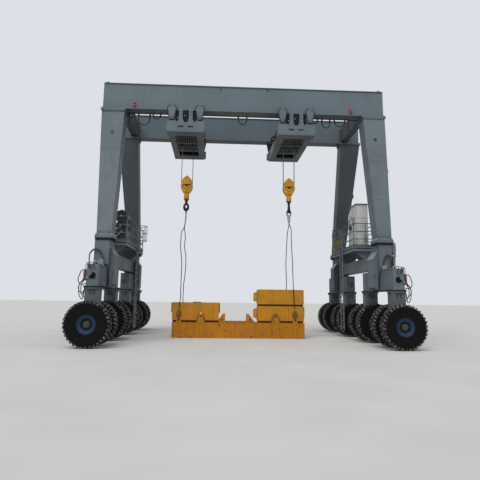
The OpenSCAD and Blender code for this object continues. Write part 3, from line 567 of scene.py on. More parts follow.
def make_materials(colours):
    """All finishes, named for what the real surface is."""
    for key, (name, colour, *rest) in PLAIN.items():
        MATERIALS[key] = plain_finish(name, linear(colour), *rest)
    MATERIALS.update({
        # two-part paint sprayed on welded plate, gone satin outdoors
        # the rear share darkens the rear of the girders, trolleys and legs as painted shade
        "grey": plate_paint("satin_grey_paint_on_plate", tuple(colours.structure), "#5A646A",
                            rear_shade_share=0.25),
        "grey_leg": plate_paint("satin_grey_paint_on_legs", tuple(colours.leg), "#545D63", rear_shade_share=0.6),
        # a darker copy of the grey paint whose darkness is painted shade, with a little rust
        "grey_dark": plate_paint("grey_paint_darkened_as_shade", tuple(colours.shaded), "#3B4043", 0.03, 0.58),
        "grey_column": plate_paint("grey_paint_on_columns", linear("#5C6469"), "#454A4D"),
        "cheek_pale": plate_paint("pale_lid_and_bolt_paint", linear("#9AA0A2"), "#7C8284"),
        "cabinet_light": plate_paint("pale_cabinet_paint", tuple(colours.cabinet), "#B3B2AC", streaks=0.3,
                                     plate_mm=500),
        "tan": plate_paint("tan_locker_paint", linear("#8C7A4E"), "#66532C", 0.2, plate_mm=260),
        # chipped machinery paint, rust in the chips
        "yellow": plate_paint("scuffed_yellow_paint", tuple(colours.yellow), "#8F6A24", 0.22, 0.45,
                              plate_mm=420),
        "yellow_dark": plate_paint("rust_marked_yellow_paint", tuple(colours.load), "#8A5E16", 0.45,
                                   streaks=0.6, plate_mm=700),
        "yellow_block": plate_paint("hook_block_paint", linear("#EBAE34"), "#AC7C2C", 0.15, 0.45,
                                    plate_mm=260),
        "yellow_worn": plate_paint("worn_yellow_paint", linear("#A87C28"), "#5E4420", 0.5, 0.5, plate_mm=220),
        "dusty_plate": plate_paint("dusty_deck_paint", linear("#8E6A2C"), "#7A6446", 0.35, 0.7, plate_mm=380),
        # wheel enamel under dust, and rubber
        "rim_blue": plain_finish("dark_blue_wheel_enamel", tuple(colours.rim), "#03152E", 25, 0.7),
        "tyre": tyre_rubber("tyre_rubber", tuple(colours.tyre), "#161616", 0.55),
        "tread": tyre_rubber("dusty_tread", linear("#262625"), "#96938C", 0.75),
        "rope_steel": wire_rope("greased_wire_rope", linear("#0F0F10"), "#2C2B2A"),
        # the pale rope paints the light on the falls that catch it
        "rope_pale": wire_rope("wire_rope_painted_lit", linear("#6E6C66"), "#A7A49B"),
    })


# Frame nodes of each finish, by the first word of their names
NODE_WORDS = {
    "grey": "front rear platforms railings trolley", "grey_dark": "end",
    "grey_leg": "legs side control bogie", "grey_column": "column", "ladder_grey": "ladders",
    "cabinet_light": "power", "machine_black": "drive",
    "cable_black": "festoon", "dark_steel": "drum", "rope_steel": "ropes sling slings", "hook_black": "hook",
    "yellow": "block weights", "yellow_dark": "lifting", "tyre": "tyres", "rim_blue": "rims",
}
NODE_FINISH = {word: key for key, words in NODE_WORDS.items() for word in words.split()}


# Sizes and colours that a user would change


def paint_of(label, what, code):
    """A colour that a user can change."""
    return FloatVectorProperty(name=label, description=what, subtype="COLOR", size=4, min=0, max=1,
                               default=linear(code))


def length_of(label, what, default, low, high):
    """A length that a user can change."""
    return FloatProperty(name=label, description=what, unit="LENGTH", default=default, min=low, max=high)


class CraneColours(bpy.types.PropertyGroup):
    """Paint colours, which the materials weather."""
    structure: paint_of("Structure", "Paint of the long beams", "#66727A")
    leg: paint_of("Legs", "Paint of legs and wheel groups", "#656F76")
    # darker copy of the structure's paint, as painted shade
    shaded: paint_of("Steel in painted shade", "Darker paint that stands in for shade", "#565F64")
    yellow: paint_of("Yellow", "Paint of hook blocks and weights", "#C4820E")
    load: paint_of("Lifting beam", "Paint of the lifting beam", "#B97606")
    cabinet: paint_of("Cabinets", "Paint of the electrical house", "#CACBC9")
    rim: paint_of("Rims", "Enamel of the wheel rims", "#05254F")
    tyre: paint_of("Tyres", "Rubber of the tyres", "#0A0A0B")


class CraneSizes(bpy.types.PropertyGroup):
    """Sizes of what the frame leaves to the looks."""
    lug_count: IntProperty(name="Tread lugs", description="Lugs in one of a tyre's two rows",
                           default=34, min=20, max=48)
    lug_depth: length_of("Lug depth", "Height of a tread lug", 0.035, 0.01, 0.06)
    bolt: length_of("Bolt", "Width of the head of a flange bolt", 0.046, 0.02, 0.08)
    hose: length_of("Hose", "Diameter of a hydraulic hose", 0.032, 0.01, 0.06)


# Stage
CAMERA_PLACE = Vector((-1.2275, -22.7984, 1.7481))
CAMERA_HEADING = 0.05095
CAMERA_RISE = 0.17454
CAMERA_TILT = 0.01242
SENSOR = 36.0
PICTURE = 480
FOCAL_PIXELS = 483.912
# the picture's middle lies this far below the lens axis
AXIS_RISE_PIXELS = 26.5


def camera_turn():
    ahead = Vector((math.sin(CAMERA_HEADING) * math.cos(CAMERA_RISE),
                    math.cos(CAMERA_HEADING) * math.cos(CAMERA_RISE), math.sin(CAMERA_RISE)))
    level = Vector((math.cos(CAMERA_HEADING), -math.sin(CAMERA_HEADING), 0))
    above = level.cross(ahead)
    right = level * math.cos(CAMERA_TILT) + above * math.sin(CAMERA_TILT)
    up = above * math.cos(CAMERA_TILT) - level * math.sin(CAMERA_TILT)
    return Matrix((right, up, -ahead)).transposed()


class CRANE_OT_stage(bpy.types.Operator):
    """Camera, pale floor, pale sky and soft light"""
    bl_idname = "crane.stage"
    bl_label = "Stage"

    def execute(self, context):
        deselect()
        bpy.ops.object.camera_add(location=CAMERA_PLACE, rotation=camera_turn().to_euler())
        camera = context.object
        camera.data.sensor_width = SENSOR
        camera.data.lens = SENSOR * FOCAL_PIXELS / PICTURE
        camera.data.shift_y = -AXIS_RISE_PIXELS / PICTURE
        camera.data.clip_end = 500
        context.scene.camera = camera
        context.scene.view_settings.view_transform = "Standard"

        deselect()
        bpy.ops.mesh.primitive_plane_add(size=400, location=(0, 0, 0))
        floor = settled("floor")
        concrete, tree, place = new_material("pale_floor")
        cloud = add(tree, "ShaderNodeTexNoise", {"Vector": place}, Scale=per_metre(2500), Detail=6.0)
        tone = steps_of(add(tree, "ShaderNodeValToRGB", {"Fac": cloud}),
                        [(0.3, linear("#CFCDC8")), (0.7, linear("#D8D6D2"))])
        shader = add(tree, "ShaderNodeBsdfPrincipled", {"Base Color": tone}, Roughness=0.9)
        add(tree, "ShaderNodeOutputMaterial", {"Surface": shader})
        floor.data.materials.append(concrete)

        world = bpy.data.worlds.new("pale_sky")
        context.scene.world = world
        world.use_nodes = True
        tree = world.node_tree
        tree.nodes.clear()
        path = add(tree, "ShaderNodeLightPath").outputs
        seen = add(tree, "ShaderNodeMath", {0: path["Is Camera Ray"], 1: path["Is Glossy Ray"]},
                   operation="MAXIMUM")
        seen = add(tree, "ShaderNodeMath", {0: seen, 1: path["Is Transmission Ray"]}, operation="MAXIMUM")
        dome = add(tree, "ShaderNodeBackground", Color=linear("#E4E8EE"), Strength=0.55)
        view = add(tree, "ShaderNodeBackground", Color=linear("#DDE0E6"), Strength=1.0)
        mix = add(tree, "ShaderNodeMixShader", {0: seen, 1: dome, 2: view})
        add(tree, "ShaderNodeOutputWorld", {"Surface": mix})

        # overcast daylight is a broad, weak sun, a little to the left and in front
        deselect()
        bpy.ops.object.light_add(type="SUN", rotation=(math.radians(38), math.radians(-16), 0))
        sun = context.object
        sun.data.energy = 1.9
        sun.data.angle = math.radians(50)
        return {"FINISHED"}


class CRANE_OT_frame_paint(bpy.types.Operator):
    """Finish of every frame node that stays in view"""
    bl_idname = "crane.frame_paint"
    bl_label = "Paint the frame"

    def execute(self, context):
        make_materials(context.scene.crane_colours)
        for node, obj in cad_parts.items():
            finish = MATERIALS[NODE_FINISH[node.split("_")[0]]]
            for slot in obj.material_slots:
                slot.material = finish
            if not obj.material_slots:
                obj.data.materials.append(finish)
        return {"FINISHED"}


# Wheels


def tyre_carcass(sizes):
    """Tyre round the Y axis at the origin, its tread base a lug's depth below the outline."""
    base = TYRE_RADIUS - sizes.lug_depth
    side = [(0.60, 0.338), (0.82, 0.340), (0.865, 0.350), (0.890, 0.378), (0.908, 0.430), (0.902, 0.452),
            (0.945, 0.52), (0.985, 0.58), (0.998, 0.63), (0.990, 0.675), (1.0, 0.682), (0.985, 0.70),
            (0.95, base - 0.035), (0.87, base - 0.012)]
    across = side + [(0.4, base), (0.0, base + 0.003), (-0.4, base)] + [(-a, r) for a, r in reversed(side)]
    ring = [(a * TYRE_HALF, r) for a, r in across]
    return turned("carcass", ring + ring[:1], "Yz", 72)


def tread_lug(sizes):
    """One lug: a bar from near the middle line to the shoulder, its inner end swept forward."""
    pitch = 2 * math.pi * TYRE_RADIUS / sizes.lug_count
    wide = pitch * 0.56
    lug = block("lug", (-wide / 2, 0.02, TYRE_RADIUS - 0.05), (wide / 2, TYRE_HALF * 0.86, TYRE_RADIUS))
    # shoulder end steps down the side wall
    choose(lug, lambda f: f.normal.y > 0.9)
    bpy.ops.mesh.extrude_region_move(TRANSFORM_OT_translate={"value": (0, TYRE_HALF * 0.11, -0.022)})
    bpy.ops.mesh.extrude_region_move(TRANSFORM_OT_translate={"value": (0, TYRE_HALF * 0.02, -0.012)})
    leave_edit()
    # inner end is narrower and swept forward, so the two rows make a chevron
    choose(lug, lambda v: v.co.y < 0.03, "VERT")
    bpy.ops.transform.resize(value=(0.72, 1, 1), center_override=(0, 0, 0))
    bpy.ops.transform.translate(value=(pitch * 0.42, 0, 0))
    leave_edit()
    return soften(lug, 0.006, 1, 20)


def wheel_place(name, side):
    """Matrix to the middle of one tyre of a pair."""
    return shift(*middle("tyres_" + name) + Vector((0, side * TYRE_Y, 0)))


class CRANE_OT_tyres(bpy.types.Operator):
    """Eight pairs of tyres with two rows of chevron lugs each"""
    bl_idname = "crane.tyres"
    bl_label = "Tyres"

    def execute(self, context):
        sizes = context.scene.crane_sizes
        near = joined("lugs", ring_of(tread_lug(sizes), sizes.lug_count, "Y"))
        half_step = math.pi / sizes.lug_count
        far = copied(near, Matrix.Rotation(half_step, 4, "Y") @ Matrix.Scale(-1, 4, (0, 1, 0)))
        kit = Kit()
        kit.put("tyre", tyre_carcass(sizes))
        kit.put("tread", near, far)
        tyre = joined("tyre", kit)
        for i, name in enumerate(WHEELS):
            pair = Kit(copied(tyre, wheel_place(name, side)
                              @ Matrix.Rotation(0.11 * (i + 1) + 0.07 * side, 4, "Y"))
                       for side in ENDS)
            pair.mount("tyre_pair_" + name, "wheels_" + name, "tyre", "tyres_" + name)
        used_up(tyre)
        return {"FINISHED"}


def rim_with_hub(bolt_width):
    """Rim, dished disc and hub of one wheel, open towards +Y, round the Y axis at the origin."""
    ring = [(0.196, 0.337), (0.206, 0.332), (0.206, 0.320), (0.196, 0.310), (0.188, 0.296), (0.178, 0.284),
            (0.168, 0.245), (0.158, 0.212), (0.135, 0.196), (0.105, 0.190), (0.095, 0.190), (0.095, 0.300),
            (-0.190, 0.305), (-0.206, 0.320), (-0.206, 0.332), (-0.196, 0.337), (0.196, 0.337)]
    dish = [(0.110, 0.1905), (0.104, 0.180), (0.098, 0.125), (0.060, 0.120), (0.060, 0.1905), (0.110, 0.1905)]
    boss = [(0.060, 0.128), (0.124, 0.124), (0.140, 0.119), (0.142, 0.095), (0.156, 0.088), (0.168, 0.072),
            (0.160, 0.046), (0.178, 0.040), (0.180, 0.0), (0.060, 0.0), (0.060, 0.128)]
    kit = Kit()
    kit.put("rim_blue", turned("rim", ring, "Yz", 64))
    # the dished disc is near black: dirt, and painted shade of the dish's hollow
    kit.put("black", turned("disc", dish, "Yz", 64))
    kit.put("hub", turned("hub", boss, "Yz"))
    outward = turn(-90, "X")
    nut = placed(hex_bolt("nut", bolt_width * 0.8, 0.026, "black"), shift(0, 0.106, 0.158) @ outward)
    cap = placed(hex_bolt("cap_bolt", bolt_width * 0.5, 0.014, "hub"), shift(0, 0.141, 0.106) @ outward)
    rib = painted(block("hub_rib", (-0.006, 0.080, 0.112), (0.006, 0.138, 0.130), 0.002, 1), "hub")
    kit += ring_of(nut, 16, "Y") + ring_of(cap, 12, "Y") + ring_of(rib, 12, "Y", start=0.13)
    return joined("wheel_rim", kit)


class CRANE_OT_rims(bpy.types.Operator):
    """Blue rims with dished discs, wheel nuts and hubs, on their axles"""
    bl_idname = "crane.rims"
    bl_label = "Rims and hubs"

    def execute(self, context):
        rim = rim_with_hub(context.scene.crane_sizes.bolt)
        reach = Vector((0, TYRE_Y + 0.07, 0))
        for name in WHEELS:
            centre = middle("tyres_" + name)
            kit = Kit(copied(rim, wheel_place(name, side) @ turn(0 if side > 0 else 180, "Z"))
                      for side in ENDS)
            kit.rod("dark_steel", "axle", centre - reach, centre + reach, 0.09, 32, 0.006)
            kit.mount("rim_pair_" + name, "wheels_" + name, "rim_blue", "rims_" + name)
        used_up(rim)
        return {"FINISHED"}


# Ropes and rigging


def along(route, share):
    """Place and heading at a share of the way, on a smooth curve through the route's points."""
    spans = len(route) - 1
    i = min(int(share * spans), spans - 1)
    t = share * spans - i
    a, b = route[i], route[i + 1]
    into = (b - route[i - 1]) / 2 if i else b - a
    out = (route[i + 2] - a) / 2 if i + 2 <= spans else b - a
    place = ((2 * t ** 3 - 3 * t ** 2 + 1) * a + (t ** 3 - 2 * t ** 2 + t) * into
             + (3 * t ** 2 - 2 * t ** 3) * b + (t ** 3 - t ** 2) * out)
    ahead = ((6 * t ** 2 - 6 * t) * a + (3 * t ** 2 - 4 * t + 1) * into
             + (6 * t - 6 * t ** 2) * b + (3 * t ** 2 - 2 * t) * out)
    return place, ahead.normalized()


def route_length(route):
    return sum((b - a).length for a, b in zip(route, route[1:]))


def laid_rope(name, route, radius, key, beside=(0, 1, 0)):
    """Wire rope of six strands: a lobed section that turns as it is swept along the route."""
    sides = 24
    lay = 13.0 * radius
    length = route_length(route)
    rings = max(4, round(length / (radius * 1.1)))
    verts = []
    for k in range(rings + 1):
        place, ahead = along(route, k / rings)
        across = ahead.cross(Vector(beside)).normalized()
        other = ahead.cross(across)
        twist = 2 * math.pi * length * k / rings / lay
        for i in range(sides):
            angle = 2 * math.pi * i / sides
            reach = radius * (1 - 0.17 * (1 - abs(math.cos(3 * angle))))
            verts.append(place + reach * (across * math.cos(angle + twist) + other * math.sin(angle + twist)))
    faces = [[k + i, k + (i + 1) % sides, k + sides + (i + 1) % sides, k + sides + i]
             for k in range(0, rings * sides, sides) for i in range(sides)]
    faces += [list(range(sides))[::-1], [rings * sides + i for i in range(sides)]]
    mesh = bpy.data.meshes.new(name)
    mesh.from_pydata(verts, [], faces)
    obj = bpy.data.objects.new(name, mesh)
    bpy.context.collection.objects.link(obj)
    pick(obj)
    bpy.ops.object.mode_set(mode="EDIT")
    bpy.ops.mesh.select_all(action="SELECT")
    bpy.ops.mesh.normals_make_consistent(inside=False)
    leave_edit()
    return smooth(painted(obj, key), 50)


# How far each slack sling strays sideways from the straight line, at shares of its length
WAVES = {
    "left_front": [(0, 0), (0.1, -0.035), (0.15, -0.15), (0.32, -0.145), (0.5, -0.025), (0.7, 0.005),
                   (0.9, 0.035), (1, 0)],
    "left_rear": [(0, 0), (0.1, -0.06), (0.2, 0), (0.3, -0.04), (0.44, 0.05), (0.58, 0.04), (0.74, -0.03),
                  (0.92, -0.05), (1, 0)],
    "right_front": [(0, 0), (0.03, 0.045), (0.11, 0.115), (0.24, 0.07), (0.48, 0.045), (0.73, 0),
                    (0.92, -0.015), (1, 0)],
    "right_rear": [(0, 0), (0.14, -0.085), (0.34, -0.095), (0.5, -0.095), (0.68, -0.035), (0.8, -0.025),
                   (1, 0)],
}
SLING_RADIUS = 0.019
SLING_APART = 0.04
LUG_Z = LOAD_Z + 0.15
LUG_X = {"left_front": SIDES["left"] - 0.15, "left_rear": SIDES["left"],
         "right_front": SIDES["right"] + 0.18, "right_rear": SIDES["right"] - 0.07}
ROUTE_POINTS = 20


def lug_side(leg):
    """Side in Y, -1 or 1, of a sling's lug."""
    return -1 if leg.endswith("front") else 1


def strayed(share, wave):
    for (s, w), (s_next, w_next) in zip(wave, wave[1:]):
        if share <= s_next:
            return w + (w_next - w) * (share - s) / (s_next - s)
    return wave[-1][1]


def sling_route(leg):
    """The route's points, from the link's eye down to the lug's shackle."""
    side = leg.split("_")[0]
    sign = lug_side(leg)
    start = Vector((SIDES[side], 0, SLING_HIGH.z))
    if side == "left":
        start.y = sign * SLING_APART
    else:
        start.x += sign * SLING_APART
    finish = Vector((LUG_X[leg], sign * LUG_Y, SLING_LOW.z))
    points = []
    for i in range(ROUTE_POINTS):
        s = i / (ROUTE_POINTS - 1)
        stray = Vector((strayed(s, WAVES[leg]), (finish.y - start.y) * 0.6 * s * (1 - s), 0))
        points.append(start + (finish - start) * s + stray)
    return points


class CRANE_OT_slings(bpy.types.Operator):
    """Four slack wire rope slings between the links and the lifting beam"""
    bl_idname = "crane.slings"
    bl_label = "Slings"

    def execute(self, context):
        for leg in WAVES:
            route = sling_route(leg)
            name = "sling_rope_" + leg
            kit = Kit([laid_rope(name, route, SLING_RADIUS, "rope_steel")])
            rope = kit.mount(name, "hoist_" + leg.split("_")[0], "rope_steel", "sling_" + leg)
            route_length(route)
        return {"FINISHED"}


def pressed_eye(name, radius, thick, drop):
    """Rope eye round its thimble, in X and Z, with the rope's neck below it."""
    bend = [Vector((x, 0, z)) for x, z in arc((0, 0), radius, -52, 232, 16)]
    neck = Vector((thick * 0.55, 0, -radius - drop * 0.22))
    loop = [neck] + bend + [Vector((-neck.x, 0, neck.z))]
    channel = [(0.50, -0.5), (0.62, -0.45), (0.62, 0.45), (0.50, 0.5), (0.42, 0.3), (0.42, -0.3),
               (0.50, -0.5)]
    thimble = turned(name, [(radius - thick * deep, thick * wide) for deep, wide in channel], "xY", 32)
    return [laid_rope(name, loop, thick / 2, "rope_steel"), painted(thimble, "pale_metal")]


# Half widths of a long rope eye at shares of its height
LONG_EYE = [(0.012, 0.0), (0.040, 0.16), (0.070, 0.34), (0.094, 0.55), (0.098, 0.74), (0.082, 0.88),
            (0.045, 0.975), (0.0, 1.0)]


def long_eye(name, foot, crest, straddle, thick):
    """Soft rope eye from its ferrule at foot, over the hook's bow at crest; straddle points to its sides."""
    sides = [foot.lerp(crest, share) + straddle * wide for wide, share in LONG_EYE]
    back = [foot.lerp(crest, share) - straddle * wide for wide, share in reversed(LONG_EYE[:-1])]
    return laid_rope(name, sides + back, thick / 2, "rope_steel", straddle.cross(Vector((0, 0, 1))))


def ferrule(name, low, high, radius):
    """Pressed ferrule: a barrel with rounded ends."""
    points = [(0.004, low), (radius * 0.8, low), (radius, low + radius * 0.35),
              (radius * 1.02, (low + high) / 2),
              (radius, high - radius * 0.35), (radius * 0.72, high), (0.004, high)]
    return painted(turned(name, points, "xZ", 24, 40), "bolt")


def shackle():
    """Bow shackle about its pin's middle at the origin, with the pin along Y."""
    sides = [(-0.048, 0.0), (-0.049, 0.06), (-0.048, 0.11)]
    crown = [(y, z + 0.11) for y, z in arc((0, 0), 0.048, 155, 25, 6)]
    path = [(0, y, z) for y, z in sides + crown + [(-y, z) for y, z in reversed(sides)]]
    kit = Kit([hose("shackle", path, 0.016, "shackle", 12)])
    for side in ENDS:
        kit.rod("shackle", "shackle_eye", (0, side * 0.032, 0), (0, side * 0.064, 0), 0.05, 24, 0.006)
    kit.rod("shackle", "shackle_pin", (0, -0.074, 0), (0, 0.066, 0), 0.034, 24, 0.003)
    kit.put("bolt", rod("shackle_nut", (0, 0.064, 0), (0, 0.084, 0), 0.05, 6, 0.004))
    return joined("shackle", kit)


# Eye of a hook: half width, half height, thickness, and how much thicker its bow is than its sides
HOOK_WIDE, HOOK_TALL, HOOK_THICK, HOOK_BOW = 0.092, 0.142, 0.053, 1.35


class CRANE_OT_rigging(bpy.types.Operator):
    """Long rope eyes in the hooks, thimbled lower eyes with ferrules, and shackles on the lugs"""
    bl_idname = "crane.rigging"
    bl_label = "Eyes and shackles"

    def execute(self, context):
        eye_r, eye_t, drop = 0.096, 0.040, 0.17
        bow = shackle()
        for side, x in SIDES.items():
            straddle, apart = Vector((0, 1, 0)), Vector((1, 0, 0))
            if side == "right":
                straddle, apart = apart, straddle
            bow_top = corners("hook_" + side)[0].z + 2 * HOOK_THICK * HOOK_BOW
            kit = Kit()
            for sign in ENDS:
                foot = Vector((x, 0, SLING_HIGH.z + drop)) + straddle * sign * SLING_APART
                crest = Vector((x, 0, bow_top + 0.018)) + apart * sign * 0.022
                kit.append(long_eye("upper_eye", foot, crest, straddle, 0.034))
                kit.append(moved(ferrule("upper_ferrule", foot.z - drop, foot.z, 0.028), foot.x, foot.y, 0))
            for leg in (side + "_front", side + "_rear"):
                lug_x, lug_y = LUG_X[leg], lug_side(leg) * LUG_Y
                kit.append(copied(bow, shift(lug_x, lug_y, LUG_Z)))
                # the eye's middle lies in the shackle's bow
                flip = shift(lug_x, lug_y, SLING_LOW.z - drop - 0.092) @ turn(180, "X")
                kit += [placed(part, flip) for part in pressed_eye("lower_eye", eye_r, eye_t, drop)]
                barrel = ferrule("lower_ferrule", SLING_LOW.z - drop, SLING_LOW.z, 0.03)
                kit.append(moved(barrel, lug_x, lug_y, 0))
            kit.mount("rigging_" + side, "hoist_" + side, "rope_steel", "slings_" + side)
        used_up(bow)
        return {"FINISHED"}


class CRANE_OT_hoist_ropes(bpy.types.Operator):
    """Four rope falls for each hook block"""
    bl_idname = "crane.hoist_ropes"
    bl_label = "Hoist ropes"

    def execute(self, context):
        reach, apart, radius = 0.265, 0.06, 0.012
        rise = (SHEAVE_TOP_Z - SHEAVE_Z) / 4
        for side, x in SIDES.items():
            falls = []
            for sign, y in [(sign, y) for sign in ENDS for y in (-apart, apart)]:
                # the falls that catch the light get the pale rope as painted light
                pale = (sign < 0 or side == "right") and not (side == "right" and sign < 0 and y > 0)
                route = [Vector((x + sign * reach, y, SHEAVE_Z + rise * i)) for i in range(5)]
                falls.append(laid_rope("fall", route, radius, "rope_pale" if pale else "rope_steel"))
            ropes = joined("hoist_ropes_" + side, falls)
            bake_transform(ropes)
            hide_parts("ropes_" + side)
        return {"FINISHED"}


# Hook blocks


def grooved_sheave():
    """Rope sheave round the Y axis at the origin: grooved rim, thin web, hub, and the rope in the groove."""
    half = [(0.0, 0.253), (0.010, 0.253), (0.013, 0.262), (0.026, 0.283), (0.030, 0.280), (0.030, 0.236),
            (0.012, 0.222), (0.012, 0.102), (0.030, 0.090), (0.030, 0.050), (0.0, 0.050)]
    ring = half + [(-y, r) for y, r in reversed(half[1:-1])] + half[:1]
    kit = Kit()
    kit.put("recess", turned("sheave", ring, "Yz"))
    kit.put("rope_steel", turned("sheave_rope", arc((0, 0.2645), 0.0115, 0, 360, 8), "Yz", 48, 60))
    return joined("sheave", kit)


CHEEK_HALF = [(0.030, 7.545), (0.150, 7.435), (0.225, 7.345), (0.262, 7.185), (0.287, 7.075), (0.284, 6.985),
              (0.245, 6.860), (0.160, 6.735)]
CHEEK_BOLTS = [(0, 7.455), (-0.20, 7.25), (0.20, 7.25), (-0.215, 6.95), (0.215, 6.95), (-0.10, 6.765),
               (0.10, 6.765)]
CHEEK_DROP = BLOCK_TOP - CHEEK_HALF[0][1]


def block_cheek(sign, x):
    """Pointed cheek plate with a slot, a raised V rib below it, the axle's end and bolts along the edge."""
    outline = mirrored([(u, z + CHEEK_DROP) for u, z in CHEEK_HALF])
    face = sign * 0.130
    plate = front_plate("cheek", outline, sign * 0.100, face)
    slot = [(-0.185, 0.050), (0.185, 0.050), (0.165, 0.0), (0.070, -0.008), (0.050, -0.060), (-0.050, -0.060),
            (-0.070, -0.008), (-0.165, 0.0)]
    cut_by(plate, front_plate("slot", [(u, SHEAVE_Z + v) for u, v in slot], sign * 0.050, sign * 0.180))
    soften(plate, 0.007, 2, 25)
    kit = Kit()
    kit.put("yellow_block", moved(plate, x, 0, 0))
    # raised V rib with its shadow line
    for grow, proud, key in ((0.016, 0.006, "recess"), (0.0, 0.018, "yellow_block")):
        rib = [(-0.215 - grow, -0.02), (0, -0.225 - grow), (0.215 + grow, -0.02), (0.180, -0.005),
               (0, -0.175), (-0.180, -0.005)]
        kit.put(key, front_plate("v_rib", [(x + u, SHEAVE_Z + v) for u, v in rib], face - sign * 0.002,
                                 face + sign * proud, 0.003))
    # axle end and bolts
    kit.rod("hook_black", "axle_end", (x, face, SHEAVE_Z), (x, face + sign * 0.019, SHEAVE_Z), 0.054, 32,
            0.006)
    nut = placed(hex_bolt("cheek_bolt", 0.034, 0.016, "yellow_block"), turn(-90 * sign, "X"))
    return kit + at_places(nut, [(x + u, face, v + CHEEK_DROP) for u, v in CHEEK_BOLTS])


class CRANE_OT_hook_blocks(bpy.types.Operator):
    """Yellow hook blocks: cheeks, grooved sheaves, crosshead with trunnions and the bearing ring"""
    bl_idname = "crane.hook_blocks"
    bl_label = "Hook blocks"

    def execute(self, context):
        top, foot, low = BLOCK_TOP, BLOCK_TOP - 0.815, BLOCK_TOP - 1.145
        back = mirrored([(0.02, top - 0.13), (0.20, top - 0.24), (0.215, top - 0.47), (0.13, foot + 0.08)])
        rings = [(0.004, 0), (0.112, 0), (0.124, 0.012), (0.124, 0.045), (0.116, 0.052), (0.116, 0.060),
                 (0.124, 0.068), (0.124, 0.19), (0.118, 0.20), (0.118, 0.215), (0.124, 0.225), (0.124, 0.27),
                 (0.105, 0.30), (0.004, 0.30)]
        for side, x in SIDES.items():
            kit = Kit(block_cheek(-1, x) + block_cheek(1, x))
            kit += [moved(grooved_sheave(), x, y, SHEAVE_Z) for y in (-0.06, 0.06)]
            # recess behind the slots
            kit.put("recess", *[moved(front_plate("recess", back, y - 0.0015, y + 0.0015), x, 0, 0)
                                for y in (-0.097, 0.097)])
            kit.block("yellow_block", "spacer", (x - 0.06, -0.1, top - 0.11), (x + 0.06, 0.1, top - 0.02),
                      0.008)
            kit.block("yellow_block", "crosshead", (x - 0.14, -0.11, foot - 0.035),
                      (x + 0.14, 0.11, foot + 0.045), 0.016, 3)
            for y in (-0.132, 0.132):
                kit.rod("hook_black", "trunnion", (x, math.copysign(0.10, y), foot + 0.005),
                        (x, y, foot + 0.005), 0.035, 24, 0.004)
            shank = turned("bearing", [(r, low + z) for r, z in rings], "xZ", 40)
            kit.put("yellow_block", moved(shank, x, 0, 0))
            kit.rod("hook_black", "grease_ring", (x, 0, low + 0.046), (x, 0, low + 0.066), 0.1225, 40, 0.004)
            kit.mount("hook_block_" + side, "hoist_" + side, "yellow", "block_" + side)
        return {"FINISHED"}


class CRANE_OT_hooks(bpy.types.Operator):
    """Closed eye hooks, forged thicker at the bow, with their nuts and collars"""
    bl_idname = "crane.hooks"
    bl_label = "Eye hooks"

    def execute(self, context):
        for side, x in SIDES.items():
            low, high = corners("hook_" + side)
            centre = low.z + HOOK_TALL + HOOK_THICK * HOOK_BOW
            crown, top = centre + HOOK_TALL, high.z
            angles = [-math.pi / 2 + i * math.pi / 4 for i in range(8)]
            curve = round_curve("eye", [(HOOK_WIDE * math.cos(a), 0, HOOK_TALL * math.sin(a))
                                        for a in angles], HOOK_THICK, 6, 12)
            spline = curve.splines[0]
            spline.use_cyclic_u = True
            for i, knot in enumerate(spline.bezier_points):
                # thick in the bow, slimmer beside the neck
                knot.radius = 1.0 + (HOOK_BOW - 1.0) * max(0.0, math.cos(i * math.pi / 4)) ** 2
            eye = moved(meshed("eye", curve, "hook_black"), 0, 0, centre)
            neck = [(0.004, crown - 0.03), (0.044, crown - 0.03), (0.048, crown + 0.03),
                    (0.060, min(crown + 0.06, top - 0.14)), (0.060, top - 0.13), (0.070, top - 0.12),
                    (0.070, top - 0.075), (0.058, top - 0.065), (0.058, top - 0.045), (0.105, top - 0.04),
                    (0.118, top - 0.03), (0.118, top - 0.004), (0.108, top), (0.004, top)]
            flat = block("shank_flat", (-0.075, -0.030, crown - 0.02), (0.075, 0.030, crown + 0.055), 0.02, 3)
            kit = Kit()
            kit.put("hook_black", turned("shank", neck, "xZ", 40), eye, smooth(flat, 50))
            hook = placed(joined("hook", kit), shift(x, 0, 0) @ turn(0 if side == "left" else 90, "Z"))
            Kit([hook]).mount("eye_hook_" + side, "hoist_" + side, "hook_black", "hook_" + side)
        return {"FINISHED"}


# Load


def padeye(width, height):
    """Upright lug from its foot at z = 0, with a bore and a welded foot, drawn in X and Z."""
    outline = mirrored(arc((0, height), 0.085, 90, 15, 6) + [(width / 2, 0.0)])
    plate = front_plate("lug", outline, -0.025, 0.025)
    cut_by(plate, rod("bore", (0, -0.1, height), (0, 0.1, height), 0.035, 32))
    soften(plate, 0.005, 2, 25)
    weld = block("weld", (-width / 2 - 0.008, -0.034, -0.012), (width / 2 + 0.008, 0.034, 0.008), 0.006)
    ring = turned("bore_ring", [(0.036, -0.0275), (0.050, -0.0275), (0.052, -0.024), (0.052, 0.024),
                                (0.050, 0.0275), (0.036, 0.0275), (0.036, -0.0275)], "xY", 32)
    kit = Kit()
    kit.put("yellow_dark", plate, weld)
    kit.put("rust_steel", moved(ring, 0, 0, height))
    return joined("padeye", kit)


# Chips in the beam's paint: shares of its length and height, and size
CHIPS = [(0.474, 0.84, 0.050), (0.545, 0.86, 0.02), (0.594, 0.11, 0.055), (0.51, 0.33, 0.03),
         (0.165, 0.42, 0.028),
         (0.10, 0.16, 0.03), (0.30, 0.30, 0.02), (0.44, 0.13, 0.028), (0.73, 0.14, 0.03), (0.76, 0.38, 0.018),
         (0.69, 0.22, 0.03), (0.09, 0.45, 0.02), (0.22, 0.10, 0.02), (0.90, 0.10, 0.025), (0.94, 0.30, 0.02)]


